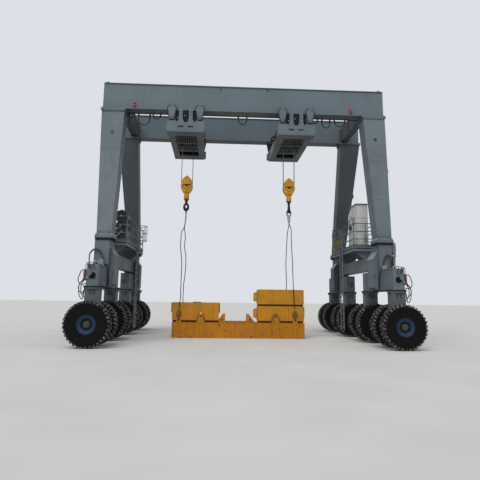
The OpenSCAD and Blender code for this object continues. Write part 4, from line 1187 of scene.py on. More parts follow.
class CRANE_OT_lifting_beam(bpy.types.Operator):
    """Lifting beam: boxed plates with welded seams, lugs with bores and a raised dusty deck plate"""
    bl_idname = "crane.lifting_beam"
    bl_label = "Lifting beam"

    def execute(self, context):
        paint = "yellow_dark"
        low, high, half = BEAM_LOW.x, BEAM_HIGH.x, BEAM_HIGH.y
        spare_x = (low + 1.28, high - 1.31)
        cross_x = (low + 2.34, high - 2.56)
        cross_y = half - 0.22
        kit = Kit()
        kit.block(paint, "beam", (low + 0.012, -half + 0.010, 0.0),
                  (high - 0.012, half - 0.010, LOAD_Z - 0.02), 0.004)
        kit.block(paint, "top_plate", (low, -half, LOAD_Z - 0.03), (high, half, LOAD_Z), 0.005)
        kit.block(paint, "sole_plate", (low, -half, 0.0), (high, half, 0.025), 0.005)
        for x in (low, high - 0.03):
            kit.block(paint, "end_plate", (x, -half, 0), (x + 0.03, half, LOAD_Z), 0.006)
        # seams where the side plates are butted
        for x in (low + 1.49, low + 2.98, low + 4.47):
            for y in (-half + 0.006, half - 0.006):
                kit.block(paint, "seam", (x - 0.006, y - 0.004, 0.03), (x + 0.006, y + 0.004, LOAD_Z - 0.035),
                          0.003)
        kit += at_places(padeye(0.24, 0.15), [(LUG_X[leg], lug_side(leg) * LUG_Y, LOAD_Z) for leg in WAVES])
        kit += at_places(padeye(0.38, 0.29), [(x, sign * LUG_Y, LOAD_Z) for x in spare_x for sign in ENDS])
        cross = placed(padeye(0.34, 0.29), Matrix.Diagonal((1.6, 1, 1, 1)) @ turn(90, "Z"))
        kit += at_places(cross, [(x, sign * cross_y, LOAD_Z) for x in cross_x for sign in ENDS])
        # gussets beside the cross lugs, each with a hole
        for x, lean in zip(cross_x, ENDS):
            for y in (-cross_y, cross_y):
                corner = [(0, -0.01), (0.30, -0.01), (0.30, 0.03), (0.05, 0.36), (0, 0.36)]
                kit.put(paint, front_plate("lug_brace", [(x + lean * u, LOAD_Z + v) for u, v in corner],
                                           y - 0.02, y + 0.02, 0.006))
                hole_x = x + lean * 0.10
                kit.put("recess", rod("brace_hole", (hole_x, y - 0.024, LOAD_Z + 0.13),
                                      (hole_x, y + 0.024, LOAD_Z + 0.13), 0.035, 24, 0.003))
        backing = [(-0.225, 0.0), (-0.215, 0.05), (-0.115, 0.33), (-0.06, 0.40), (0.06, 0.40), (0.115, 0.33),
                   (0.215, 0.05), (0.225, 0.0)]
        for x in spare_x:
            for y in (-LUG_Y, LUG_Y):
                kit.put("recess", front_plate("lug_backing", [(x + u, LOAD_Z + v) for u, v in backing],
                                              y - 0.012, y + 0.012))
        kit.rod("cap_cream", "worn_cap", (spare_x[0], -LUG_Y - 0.035, LOAD_Z + 0.385),
                (spare_x[0], -LUG_Y + 0.035, LOAD_Z + 0.385), 0.055, 24, 0.012)
        chip = [(-1, 0), (-0.4, 0.7), (0.5, 0.5), (0.9, -0.2), (0, -0.6)]
        for x_share, z_share, size in CHIPS:
            x, z = low + (high - low) * x_share, LOAD_Z * z_share
            kit.put("rust_steel", front_plate("paint_chip", [(x + size * u, z + size * v) for u, v in chip],
                                              -half + 0.006, -half + 0.012))
        kit.block("dusty_plate", "raised_plate", (low + 2.26, -half + 0.15, LOAD_Z),
                  (high - 2.26, half - 0.15, LOAD_Z + 0.045), 0.008)
        kit.mount("slung_beam", "hoist_left", "yellow_dark", "lifting_beam")
        return {"FINISHED"}


WEIGHT_LENGTH = 2.11


def cast_weight(x_low, z_low, height, seam_x):
    """One weight on two skids: a casting with rounded edges, a line where its plates meet, and a lid."""
    half = 0.40
    x_high = x_low + WEIGHT_LENGTH
    z, top = z_low + 0.075, z_low + 0.075 + height
    kit = Kit()
    kit.block("yellow", "weight", (x_low, -half, z), (x_high, half, top), 0.014, 3)
    for x in (x_low + 0.13, x_high - 0.33):
        kit.block("rust_steel", "skid", (x, -half + 0.06, z_low), (x + 0.2, half - 0.06, z + 0.002), 0.006)
    for y in (-half, half):
        kit.block("rust_steel", "seam", (seam_x - 0.005, y - 0.002, z + 0.02),
                  (seam_x + 0.005, y + 0.002, top - 0.02), 0.001, 1)
    # dunnage under the weight, near black as painted shade where the gap under the weight is in shade
    kit.block("dunnage_shade_black", "dunnage", (x_low + 0.03, -half + 0.03, z_low),
              (x_high - 0.03, half - 0.03, z + 0.002), 0.006)
    kit.block("dusty_plate", "lid", (x_low + 0.04, -half + 0.04, top - 0.01),
              (x_high - 0.04, half - 0.04, top + 0.006), 0.005)
    return kit


def handle_plate(x, z, y_low):
    """Rounded handle plate with a slot in it, standing out from a weight's end."""
    upper = arc((x - 0.075, z + 0.13), 0.085, 90, 180, 5)
    lower = arc((x - 0.075, z - 0.13), 0.085, 180, 270, 5)
    outline = [(x + 0.005, z + 0.215)] + upper + lower + [(x + 0.005, z - 0.215)]
    plate = front_plate("handle", outline, y_low, y_low + 0.06)
    slot = block("slot", (x - 0.09, y_low - 0.1, z - 0.12), (x - 0.03, y_low + 0.16, z + 0.12), 0.028, 4)
    cut_by(plate, slot)
    return soften(plate, 0.006, 2, 25)


class CRANE_OT_weights(bpy.types.Operator):
    """Three weights with skids, lips, handles and end bracket"""
    bl_idname = "crane.weights"
    bl_label = "Weights"

    def execute(self, context):
        left, right = BEAM_LOW.x - 0.02, BEAM_HIGH.x - WEIGHT_LENGTH
        kit = cast_weight(left, LOAD_Z, 0.79, left + 1.85)
        for x in (left - 0.045, left + WEIGHT_LENGTH):
            kit.block("rust_steel", "lip", (x, -0.30, LOAD_Z + 0.415), (x + 0.045, 0.30, LOAD_Z + 0.85),
                      0.008)
        kit.block("recess", "top_cover", (left + 0.93, -0.25, LOAD_Z + 0.86),
                  (left + 1.29, 0.25, LOAD_Z + 0.90), 0.004)
        for level, seam_x in ((0, right + 1.4), (0.7453, right + 0.7)):
            kit += cast_weight(right, LOAD_Z + level, 0.67, seam_x)
            kit.put("yellow", *[handle_plate(right, LOAD_Z + level + 0.41, y) for y in (-0.30, 0.24)])
        end = right + WEIGHT_LENGTH
        kit.block("yellow_worn", "bracket", (end, -0.30, LOAD_Z + 0.24), (end + 0.04, 0.30, LOAD_Z + 0.715),
                  0.006)
        kit.mount("weight_set", "hoist_left", "yellow", "weights")
        return {"FINISHED"}


# Trolleys

HANGER_X, HANGER_Y = 0.62, 2.33
# Outer face of hangers and end beams, the hangers' wheel pins and feet, and the end beams' shelf
BEAM_FACE = HANGER_Y + 0.04
WHEEL_Z = 10.1303
FOOT_Z = 9.62
SHELF_Z = TROLLEY_Z + 0.46


def capsule(name, low, low_r, high, high_r, y_from, y_to):
    """Upright plate with round ends of two radii, drawn in X and Z."""
    outline = arc((0, high), high_r, 0, 180, 14) + arc((0, low), low_r, 180, 360, 12)
    return front_plate(name, outline, y_from, y_to)


def hanger_set(e):
    """What stands on one hanger plate at e = -1, front, or 1, rear: cover plate with a black rim round it as
    painted shadow, wheel, pins and bolts.
    """
    cover = capsule("hanger_cover", FOOT_Z, 0.100, 10.012, 0.176, e * (BEAM_FACE + 0.016),
                    e * (BEAM_FACE + 0.028))
    kit = Kit()
    kit.put("grey", soften(cover, 0.004, 2, 25))
    # near black plate behind the cover, larger than it, paints the shadow round the cover
    kit.put("black", capsule("hanger_shadow_rim", FOOT_Z - 0.01, 0.132, 10.016, 0.205, e * (BEAM_FACE - 0.001),
                             e * (BEAM_FACE + 0.018)))
    for z, r, long, key in ((WHEEL_Z, 0.045, 0.012, "grey"), (FOOT_Z, 0.034, 0.040, "pin_red")):
        kit.rod(key, "hanger_pin", (0, e * BEAM_FACE, z), (0, e * (BEAM_FACE + 0.028 + long), z), r, 28,
                0.007)
        kit.block("grey", "keeper", (-0.07, e * (BEAM_FACE + 0.026), z + r),
                  (0.07, e * (BEAM_FACE + 0.036), z + r + 0.045), 0.003)
    rivet = placed(hex_bolt("rivet", 0.026, 0.014, "grey"), turn(-90 * e, "X"))
    spots = arc((0, 10.016), 0.150, 20, 160, 5) + [(x, z) for x in (-0.085, 0.085) for z in (9.72, 9.90)]
    kit += at_places(rivet, [(x, e * (BEAM_FACE + 0.028), z) for x, z in spots])
    tread = [(0.0, 0.112), (0.010, 0.114), (0.045, 0.114), (0.052, 0.132), (0.066, 0.132), (0.068, 0.110),
             (0.062, 0.09), (0.062, 0.045), (0.0, 0.045), (0.0, 0.112)]
    wheel = placed(turned("wheel", tread, "Yz", 32), turn(180 if e < 0 else 0, "Z"))
    kit.put("hub", moved(wheel, 0, e * (HANGER_Y - 0.093), WHEEL_Z))
    return joined("hanger_set", kit)


def end_beam_set(e):
    """Gussets beside the guides, slot frames and bolt rows of one end beam."""
    kit = Kit()
    slot_z = TROLLEY_Z + 0.26
    near, far = e * BEAM_FACE, e * (BEAM_FACE + 0.012)
    for s in ENDS:
        for x, run in ((0.305, 0.062), (0.135, -0.062)):
            outline = [(s * x, SHELF_Z), (s * (x + run), SHELF_Z), (s * x, SHELF_Z + 0.17)]
            kit.put("grey", front_plate("gusset", outline, e * (HANGER_Y + 0.004), e * (HANGER_Y + 0.034)))
        # frame round the slot
        guide_x = s * 0.22
        for low_x, low_z, high_x, high_z in ((-0.130, 0.025, 0.130, 0.040), (-0.130, -0.040, 0.130, -0.025),
                                             (-0.130, -0.025, -0.1175, 0.025),
                                             (0.1175, -0.025, 0.130, 0.025)):
            kit.block("grey", "slot_frame", (guide_x + low_x, near, slot_z + low_z),
                      (guide_x + high_x, far, slot_z + high_z), 0.003, 1)
        # stop plate and roller at the head of each guide
        kit.rod("grey", "guide_roller", (guide_x, e * 2.30, 9.90), (guide_x, e * (BEAM_FACE + 0.022), 9.90),
                0.036, 24, 0.005)
        kit.block("grey", "guide_pad", (guide_x - 0.05, near, 9.72), (guide_x + 0.05, far, 9.80), 0.004)
    # near black sheet behind the guides, painted shade, with cable glands on it
    kit.block("black", "guide_shade_sheet", (-0.47, e * 2.268, SHELF_Z), (0.47, e * 2.290, 9.925), 0.006)
    for x, z, key in ((-0.06, 9.72, "stripe"), (0.05, 9.66, "rust_steel"), (-0.35, 9.62, "stripe")):
        kit.rod(key, "gland", *[(x, y, z) for y in sorted((e * 2.285, e * 2.325))], 0.028, 16, 0.004)
    bolt = placed(hex_bolt("beam_bolt", 0.030, 0.016, "grey"), turn(-90 * e, "X"))
    row_z = TROLLEY_Z + (0.06 if e < 0 else 0.24)
    kit += at_places(bolt, [(-0.77 + 0.11 * i, near, row_z) for i in range(15)])
    kit.block("grey", "beam_band", (-0.83, e * (BEAM_FACE - 0.002), row_z - 0.055),
              (0.83, e * (BEAM_FACE + 0.010), row_z - 0.030), 0.003, 1)
    return joined("end_beam_set", kit)


def hoist_machine():
    """Fins, fan cowl and junction box of the hoist motor, with the gearbox's lids, ribs and bolts."""
    z = DECK_Z + 0.19
    fin = [(0.150, -0.004), (0.178, -0.004), (0.178, 0.004), (0.150, 0.004), (0.150, -0.004)]
    ring = painted(turned("fin", fin, "zX", 36, 0), "machine_grey")
    kit = Kit(at_places(ring, [(-0.10 + 0.032 * i, -1.13, z) for i in range(12)]))
    cowl = [(0.004, 0.29), (0.120, 0.29), (0.146, 0.308), (0.150, 0.40), (0.140, 0.405), (0.004, 0.405)]
    kit.put("machine_grey", moved(turned("fan_cowl", cowl, "zX", 32), 0, -1.13, z),
            block("terminal_box", (-0.02, -1.20, z + 0.15), (0.14, -1.06, z + 0.25), 0.012))
    kit.block("grey_dark", "gear_lid", (-0.47, -1.49, DECK_Z + 0.30), (-0.15, -0.77, DECK_Z + 0.325), 0.010)
    for y in (-1.42, -1.13, -0.84):
        kit.block("grey_dark", "gear_rib", (-0.495, y - 0.012, DECK_Z), (-0.478, y + 0.012, DECK_Z + 0.30),
                  0.003)
    bolt = hex_bolt("gear_bolt", 0.03, 0.014, "bolt")
    kit += at_places(bolt, [(x, -1.46 + 0.11 * i, DECK_Z + 0.324) for x in (-0.44, -0.18) for i in range(7)])
    return joined("hoist_machine", kit)


# Black sheets under a trolley's deck that paint the shade in its bays: lowest and highest corner above the
# trolley's underside
BAY_SHADE_SHEETS = [
    # pans of the middle bay, open where the rope falls pass
    ((-0.505, -0.75, 0.010), (-0.31, 0.21, 0.016)), ((-0.22, -0.75, 0.010), (0.22, 0.21, 0.016)),
    ((0.31, -0.75, 0.010), (0.505, 0.21, 0.016)),
    # covers that leave slim bars between the bays
    ((-0.51, -1.045, -0.004), (0.51, -0.87, 0.002)), ((-0.51, 0.185, -0.004), (0.51, 0.32, 0.002)),
    ((-0.51, 0.50, -0.004), (0.51, 0.56, 0.002)),
    # walls, ceilings and ends
    ((-0.529, -1.83, 0.06), (-0.520, 1.88, 0.425)), ((0.520, -1.83, 0.06), (0.529, 1.88, 0.425)),
    ((-0.52, -1.60, 0.478), (0.52, -0.34, 0.488)), ((-0.52, 0.34, 0.478), (0.52, 1.87, 0.488)),
    ((-0.52, -1.028, 0.03), (0.52, -1.021, 0.205)), ((-0.52, 0.472, 0.03), (0.52, 0.479, 0.205)),
    ((-0.52, 1.312, 0.03), (0.52, 1.319, 0.205)),
]


def deck_grating():
    """Guard bars, black sheets that paint the shade in the bays under the deck, and the walkway grating on
    it.
    """
    kit = Kit()
    for i in range(11):
        x = -0.45 + 0.09 * i
        kit.block("machine_black", "guard_bar", (x - 0.011, -1.83, TROLLEY_Z + 0.010),
                  (x + 0.011, -1.03, TROLLEY_Z + 0.028), 0.003, 1)
    for low, high in BAY_SHADE_SHEETS:
        # near black sheets standing in for the shade in the bays
        kit.put("black", moved(block("bay_shade_sheet", low, high), 0, 0, TROLLEY_Z))
    for i in range(22):
        y = 0.42 + 0.062 * i
        kit.block("grey_dark", "grate", (-0.66, y, DECK_Z), (0.66, y + 0.018, DECK_Z + 0.022), 0.003, 1)
    for x in (-0.66, 0.0, 0.65):
        kit.block("grey_dark", "grate_side", (x, 0.40, DECK_Z), (x + 0.012, 1.80, DECK_Z + 0.03), 0.003, 1)
    return joined("deck_grating", kit)


class CRANE_OT_trolley_fittings(bpy.types.Operator):
    """Hanger covers, wheels, pins, rivets, gussets, slot frames, gratings and hoist machinery"""
    bl_idname = "crane.trolley_fittings"
    bl_label = "Trolley fittings"

    def execute(self, context):
        hangers = [hanger_set(e) for e in ENDS]
        whole = [hoist_machine(), deck_grating()] + [end_beam_set(e) for e in ENDS]
        for side, x in SIDES.items():
            kit = Kit(copied(piece, shift(x, 0, 0)) for piece in whole)
            kit += [copied(hanger, shift(x + s * HANGER_X, 0, 0)) for hanger in hangers for s in ENDS]
            kit.mount("trolley_fittings_" + side, "carriage_" + side, "grey_dark")
        used_up(*hangers, *whole)
        return {"FINISHED"}


# Cable hoops at a trolley's inner edge: how far they bulge, then near and far end in Y and drop
HOOPS = {
    "left": (0.09, [(-0.78, -1.22, 0.34), (-0.88, -1.32, 0.46), (-1.0, -1.40, 0.25)]),
    "right": (0.24, [(-0.60, -1.10, 0.22), (-0.75, -1.30, 0.30)]),
}


class CRANE_OT_trolley_cables(bpy.types.Operator):
    """Hoops of cable and junction boxes on the trolleys' inner sides, and the ropes wound on the drums"""
    bl_idname = "crane.trolley_cables"
    bl_label = "Trolley cables"

    def execute(self, context):
        for side, x in SIDES.items():
            inward = 1 if side == "left" else -1
            edge, top = x + inward * 0.745, TROLLEY_Z + 0.33
            out, hoops = HOOPS[side]
            bulge = edge + inward * out
            kit = Kit()
            for y_near, y_far, drop in hoops:
                mid = (y_near + y_far) / 2
                route = [(edge, y_near, top), (bulge, y_near - 0.02, top - 0.10),
                         (bulge, mid + 0.12, top - drop + 0.05), (bulge, mid, top - drop),
                         (bulge, mid - 0.12, top - drop + 0.05), (bulge, y_far + 0.02, top - 0.10),
                         (edge, y_far, top)]
                kit.hoses("cable_black", "hoop", [route], 0.024, 12)
                for y in (y_near, y_far):
                    kit.rod("bolt", "gland", (edge - inward * 0.01, y, top - 0.005),
                            (edge + inward * 0.015, y, top - 0.03), 0.03, 16, 0.004)
            box_x = edge - inward * 0.004
            kit.block("machine_black", "junction_box", (box_x, -1.72, TROLLEY_Z + 0.02),
                      (edge + inward * 0.10, -1.44, TROLLEY_Z + 0.40), 0.014)
            kit.block("machine_black", "junction_lid", (box_x, -1.70, TROLLEY_Z + 0.05),
                      (edge + (0.108 if inward > 0 else -0.10), -1.46, TROLLEY_Z + 0.37), 0.006)
            kit.mount("trolley_cables_" + side, "carriage_" + side, "cable_black")

            ring = [(0.012 * math.cos(a), 0.201 + 0.011 * math.sin(a))
                    for a in [math.pi / 4 * i for i in range(9)]]
            coil = painted(turned("coil", ring, "Xz", 40, 60), "rope_steel")
            kit = Kit(at_places(coil, [(x - 0.35 + 0.05 * i, -1.4, DRUM_Z) for i in range(15)]))
            for s in ENDS:
                kit.rod("machine_grey", "drum_hub", (x + s * 0.40, -1.4, DRUM_Z),
                        (x + s * 0.43, -1.4, DRUM_Z), 0.13, 32, 0.008)
            kit.mount("drum_winding_" + side, "carriage_" + side, "dark_steel")
        return {"FINISHED"}


# Portal

GIRDER_FACE = 2.145
FESTOON_Y = -1.72
# Hanging loops of the trolley cable: place along X, width and straight drop
LOOPS = [(-5.13, 0.284, 0.06), (-4.55, 0.54, 0.25), (-3.99, 0.36, 0.04), (-0.09, 0.414, 0.15),
         (3.23, 0.33, 0.05), (3.77, 0.397, 0.20), (4.415, 0.517, 0.06)]


class CRANE_OT_girder_fittings(bpy.types.Operator):
    """Weld seams, pipe stubs and end bolts of the long beams, lamps, cable loops and small chains"""
    bl_idname = "crane.girder_fittings"
    bl_label = "Girder fittings"

    def execute(self, context):
        kit = Kit()
        for e in ENDS:
            # butt seams of the web plates, and the beads along the flanges
            y = e * GIRDER_FACE
            for x in (-4.55, -3.1, -1.15, 0.85, 2.85, 4.45):
                kit.block("grey", "seam", (x - 0.007, y - 0.004, 10.03), (x + 0.007, y + 0.004, 11.185),
                          0.003, 1)
            for z in (10.024, 11.186):
                kit.block("grey", "bead", (-6.32, y - 0.007, z - 0.007), (6.32, y + 0.007, z + 0.007), 0.003,
                          1)
            # short pipes under the top plate's edge
            y = e * (GIRDER_FACE + 0.02)
            for x in (-1.11, 1.01):
                kit.block("machine_black", "pipe_stub", (x - 0.015, y - 0.02, 11.03),
                          (x + 0.015, y + 0.02, 11.185), 0.006)
        dome = [(0.055 * math.sin(a), -0.06 - 0.055 * math.cos(a)) for a in
                [math.radians(15 * i) for i in range(1, 9)]]
        lens = [(0.004, -0.115)] + dome + [(0.035, -0.02), (0.004, -0.02)]
        for x in (-4.94, 4.82):
            kit.block("machine_grey", "lamp_base", (x - 0.04, -GIRDER_FACE - 0.03, 10.09),
                      (x + 0.04, -GIRDER_FACE + 0.002, 10.37), 0.008)
            for z in (10.17, 10.29):
                kit.put("lamp", moved(turned("lamp", lens, "xY", 24, 40), x, -GIRDER_FACE, z))
        # rows of bolts on the end plates
        nut = placed(hex_bolt("end_bolt", 0.05, 0.026, "grey"), turn(90, "Y"))
        right = [(6.33, e * y, 10.12 + 0.17 * i) for e in ENDS for y in (1.78, 2.08) for i in range(7)]
        left = copied(nut, Matrix.Scale(-1, 4, (1, 0, 0)))
        kit += at_places(nut, right) + at_places(left, [(-x, y, z) for x, y, z in right])
        kit.mount("girder_fittings", "portal", "grey")

        kit = Kit()
        for x, width, drop in LOOPS:
            # second, thicker cable beside the frame's own
            bow = arc((x, 9.935 - drop), (width / 2 - 0.01) * 0.93, 0, -180, 8)
            route = [(bow[0][0], bow[0][1] + drop)] + bow + [(bow[-1][0], bow[-1][1] + drop)]
            kit.hoses("cable_black", "loop", [[(u, FESTOON_Y - 0.012, v) for u, v in route]], 0.021, 8)
        clip = painted(block("clip", (-0.035, -0.03, -0.05), (0.035, 0.03, 0.0), 0.006), "machine_black")
        kit += at_places(clip, [(x + s * (width / 2 - 0.01), FESTOON_Y, 9.965) for x, width, drop in LOOPS
                                for s in ENDS])
        # small chains beside the leg tops
        link = painted(turned("chain_link", arc((0.042, 0), 0.011, 0, 360, 8), "xY", 16, 60), "machine_black")
        for x in (-5.2, 4.83):
            tall = copied(link, Matrix.Diagonal((0.8, 1, 1.2, 1)))
            flat = copied(tall, turn(90, "Z"))
            kit += at_places(tall, [(x, FESTOON_Y, 9.93 - 0.14 * i) for i in range(4)])
            kit += at_places(flat, [(x, FESTOON_Y, 9.86 - 0.14 * i) for i in range(4)])
        used_up(link)
        kit.mount("cable_clips", "portal", "cable_black")
        return {"FINISHED"}


LEG_FOOT_Z, LEG_HEAD_Z = 4.13, 9.88


def leg_point(side, e, x_share, y_share, z):
    """Point on a leg's hull: shares from -1 to 1 across its width and depth at height z."""
    t = (z - LEG_FOOT_Z) / (LEG_HEAD_Z - LEG_FOOT_Z)
    x_in, x_out = 5.27 + (5.34 - 5.27) * t, 5.83 + (6.33 - 5.83) * t
    y_mid, y_half = 3.53 + (1.93 - 3.53) * t, 0.34 + 0.02 * t
    x = (x_in + x_out) / 2 + x_share * (x_out - x_in) / 2
    return Vector((side * x, e * (y_mid + y_share * y_half), z))


def flange_set(side, e):
    """Bolts and gussets of one leg's joint flange and of its head flange."""
    kit = Kit()
    # bolt heads on top of the flange are pale as painted light; the nuts under it are near black as painted
    # shade
    head = hex_bolt("flange_bolt", 0.056, 0.075, "cheek_pale")
    nut = placed(hex_bolt("flange_nut", 0.062, 0.095, "black"), turn(180, "X"))
    rows = [(5.25 + 0.1 * i, y) for i in range(7) for y in (3.165, 3.895)]
    rows += [(x, 3.26 + 0.11 * i) for i in range(6) for x in (5.238, 5.862)]
    kit += at_places(head, [(side * x, e * y, 4.129) for x, y in rows])
    kit += at_places(nut, [(side * x, e * y, 4.031) for x, y in rows])
    for x in [5.30 + 0.1 * i for i in range(6)]:
        # ribs above the flange keep the leg's paint, those under it are black as painted shade
        for key, z, rise in (("grey_leg", 4.125, 0.22), ("machine_black", 4.035, -0.12)):
            kit.put(key, side_plate("flange_rib", [(e * 3.862, z), (e * 3.925, z), (e * 3.862, z + rise)],
                                    side * (x - 0.014), side * (x + 0.014)))
    kit.block("machine_black", "head_band", (side * 5.36, e * 2.285, 9.79), (side * 6.31, e * 2.302, 9.87),
              0.004)
    for x in [5.40 + 0.125 * i for i in range(8)]:
        kit.put("grey_leg", side_plate("head_rib",
                                       [(e * 2.275, 9.882), (e * 2.345, 9.882), (e * 2.275, 9.70)],
                                       side * (x - 0.012), side * (x + 0.012)))
    tip = placed(hex_bolt("head_bolt", 0.050, 0.060, "cheek_pale"), turn(180, "X"))
    return kit + at_places(tip, [(side * (5.462 + 0.125 * i), e * 2.325, 9.881) for i in range(7)])


class CRANE_OT_leg_fittings(bpy.types.Operator):
    """Weld beads and bands of the legs, flange bolts and ribs, slot plates, switch cases and fork pin caps"""
    bl_idname = "crane.leg_fittings"
    bl_label = "Leg fittings"

    def execute(self, context):
        kit = Kit()
        for side, e in [(side, e) for side in ENDS for e in ENDS]:
            for u, v in [(x_share * 0.985, y_share * 0.985) for x_share in ENDS for y_share in ENDS]:
                kit.put("grey_leg", rod("bead", leg_point(side, e, u, v, 4.15),
                                        leg_point(side, e, u, v, 9.86), 0.012, 8))
            # bands where the leg's plates are butted
            for z in (5.9, 7.95):
                ring = [leg_point(side, e, u, v, z) for u,
                        v in ((-1, -1), (1, -1), (1, 1), (-1, 1), (-1, -1))]
                kit.put("grey_leg", *[rod("band", a, b, 0.007, 6) for a, b in zip(ring, ring[1:])])
            kit += flange_set(side, e)
            if side > 0:
                edge = leg_point(side, e, 1.0, 0.0, 7.3)
                kit.block("pin_red", "switch_case", edge - Vector((0.02, 0.08, 0.10)),
                          edge + Vector((0.13, 0.08, 0.10)), 0.010)
            mid, half = leg_point(side, e, -0.05, 1.0, 8.72), Vector((0.06, 0.012, 0.11))
            kit.block("machine_black", "slot_plate", mid - half, mid + half, 0.004)
            # pin caps on the forks
            for s in ENDS:
                x, y = side * LEG_X + s * 0.31, e * FORK_Y
                kit.rod("grey_leg", "pin_cap", (x, y, PIN_Z), (x + s * 0.022, y, PIN_Z), 0.115, 36, 0.008)
                bolt = placed(hex_bolt("cap_bolt", 0.026, 0.012, "bolt"),
                              shift(x + s * 0.022, y, PIN_Z) @ turn(90 * s, "Y") @ shift(0, 0.085, 0))
                kit += ring_of(bolt, 6, "X", (x, y, PIN_Z))
        kit.mount("leg_fittings", "portal", "grey")
        return {"FINISHED"}


# Wheel groups


def slewing_ring():
    """Toothed turning ring round the Z axis, its underside at z = 0."""
    band = [(0.300, 0.004), (0.352, 0.004), (0.362, 0.010), (0.362, 0.046), (0.352, 0.052), (0.300, 0.052),
            (0.300, 0.004)]
    tooth = block("tooth", (0.355, -0.010, 0.012), (0.376, 0.010, 0.044), 0.004, 1)
    kit = Kit()
    kit.put("black", turned("slewing_ring", band, "xZ"), *ring_of(tooth, 56, "Z"))
    return joined("slewing_ring", kit)


# End of a wheel group's beam, and its motor's place in X
FACE = -1.85
MOTOR_X = 0.285


def end_hoses(hose_radius):
    """Hoses at the end of a wheel group: from the fittings, round the motor and along the beam's top."""
    kit = Kit()
    elbows = [[(x, FACE - 0.03, z), (x, FACE - 0.075, z + 0.01), (x + 0.02, FACE - 0.08, z + 0.09),
               (x + 0.06, FACE - 0.02, z + 0.18), (x + 0.10, FACE + 0.12, z + 0.20)]
              for x, z in ((-0.06, 2.77), (0.05, 2.76), (0.12, 2.79))]
    drops = []
    for i, (depth, out) in enumerate(((1.68, 0.44), (1.76, 0.38), (1.86, 0.47))):
        y = FACE + 0.04 + 0.055 * i
        drops.append([(MOTOR_X, y, 2.38), (out, y, 2.22), (out + 0.02, y, 2.0), (out - 0.05, y, depth + 0.05),
                      (out - 0.11, y, depth), (out - 0.15, y, depth + 0.10), (0.26, y, 2.02),
                      (0.22, y + 0.02, 2.16)])
    loop = [(0.22, FACE + 0.06, 2.66), (0.36, FACE, 2.70), (0.46, FACE, 2.52), (0.50, FACE + 0.02, 2.36),
            (0.44, FACE + 0.05, 2.22), (0.30, FACE + 0.08, 2.20), (0.215, FACE + 0.10, 2.24)]
    pipe = [(-0.16, FACE + 0.10, 2.935), (-0.16, FACE + 0.10, 2.99), (0.10, FACE + 0.08, 3.0),
            (0.24, FACE + 0.03, 2.95), (0.25, FACE - 0.01, 2.80), (0.25, FACE, 2.70)]
    runs = [[(x, FACE + 0.14, 2.93), (x, FACE + 0.16, 2.97), (x, -1.0, 2.962), (x, -0.82, 2.955),
             (x, -0.76, 2.925)]
            for x in (-0.12, -0.07, -0.02)]
    kit.hoses("cable_black", "group_hose", elbows + drops + [loop] + runs, hose_radius / 2)
    kit.hoses("pale_metal", "pipe_elbow", [pipe], hose_radius * 0.55)
    return kit


def end_fittings(hose_radius):
    """Motor, valves, hoses and framed hole at the front right wheel group's end, about the group's centre."""
    leg = "grey_leg"
    rim = [(0.124, FACE + 0.002), (0.150, FACE + 0.002), (0.152, FACE - 0.010), (0.126, FACE - 0.012),
           (0.122, FACE + 0.08), (0.124, FACE + 0.002)]
    kit = end_hoses(hose_radius)
    kit.put(leg, moved(turned("hole_rim", rim, "xY", 36), 0, 0, 2.51))
    # near black disc inside the hole's rim paints the shade in the hole
    kit.put("black", rod("hole_shade_disc", (0, FACE + 0.05, 2.51), (0, FACE + 0.07, 2.51), 0.125, 36, 0.002))
    # motor with its flange, valve block and caps on the outer side
    for low, high, r, key in ((2.36, 2.40, 0.075, "machine_black"), (2.40, 2.62, 0.062, "red"),
                              (2.62, 2.66, 0.070, "red"), (2.66, 2.74, 0.045, "machine_black")):
        kit.rod(key, "motor", (MOTOR_X, FACE + 0.10, low), (MOTOR_X, FACE + 0.10, high), r, 28, 0.008)
    kit.block("machine_black", "valve", (0.208, FACE + 0.02, 2.44), (0.30, FACE + 0.18, 2.60), 0.010)
    kit.block(leg, "motor_bracket", (0.205, FACE + 0.03, 2.33), (0.36, FACE + 0.17, 2.37), 0.006)
    for x, z in ((-0.06, 2.77), (0.05, 2.76), (0.12, 2.79)):
        kit.put("pale_metal", rod("hex_fitting", (x, FACE, z), (x, FACE - 0.035, z), 0.025, 6, 0.004))
    # slanted steering rod with its eyes
    low, high = Vector((0.02, FACE - 0.05, 2.60)), Vector((0.24, FACE - 0.05, 2.36))
    kit.rod(leg, "steer_ram", low, (low + high) / 2, 0.032, 20, 0.004)
    kit.rod("pale_metal", "ram_rod", (low + high) / 2, high, 0.017)
    for place in (low, high):
        kit.put("machine_black", rod("ram_eye", place - Vector((0, 0.02, 0)), place + Vector((0, 0.05, 0)),
                                     0.036, 20, 0.004))
    for y in (-1.4, -1.0):
        kit.block("pale_metal", "hose_clip", (-0.17, y - 0.02, 2.93), (0.03, y + 0.02, 2.985), 0.006)
    for s in ENDS:
        # black pipes along the box's lower edges
        kit.rod("cable_black", "edge_pipe", (s * 0.232, -1.83, 2.135), (s * 0.232, 1.83, 2.135), 0.028, 16,
                0.004)
        # lips and stiffeners of the box; the upper lips stop short of the fork
        for z, y_low, y_high in ((2.16, -1.84, 1.84), (2.91, -1.84, -0.78), (2.91, 0.78, 1.84)):
            kit.block(leg, "box_lip", (s * 0.208, y_low, z - 0.012), (s * 0.226, y_high, z + 0.012), 0.004, 1)
        for y in (-1.30, 1.30):
            kit.block(leg, "box_rib", (s * 0.208, y - 0.012, 2.17), (s * 0.222, y + 0.012, 2.90), 0.004, 1)
    return joined("end_fittings", kit)


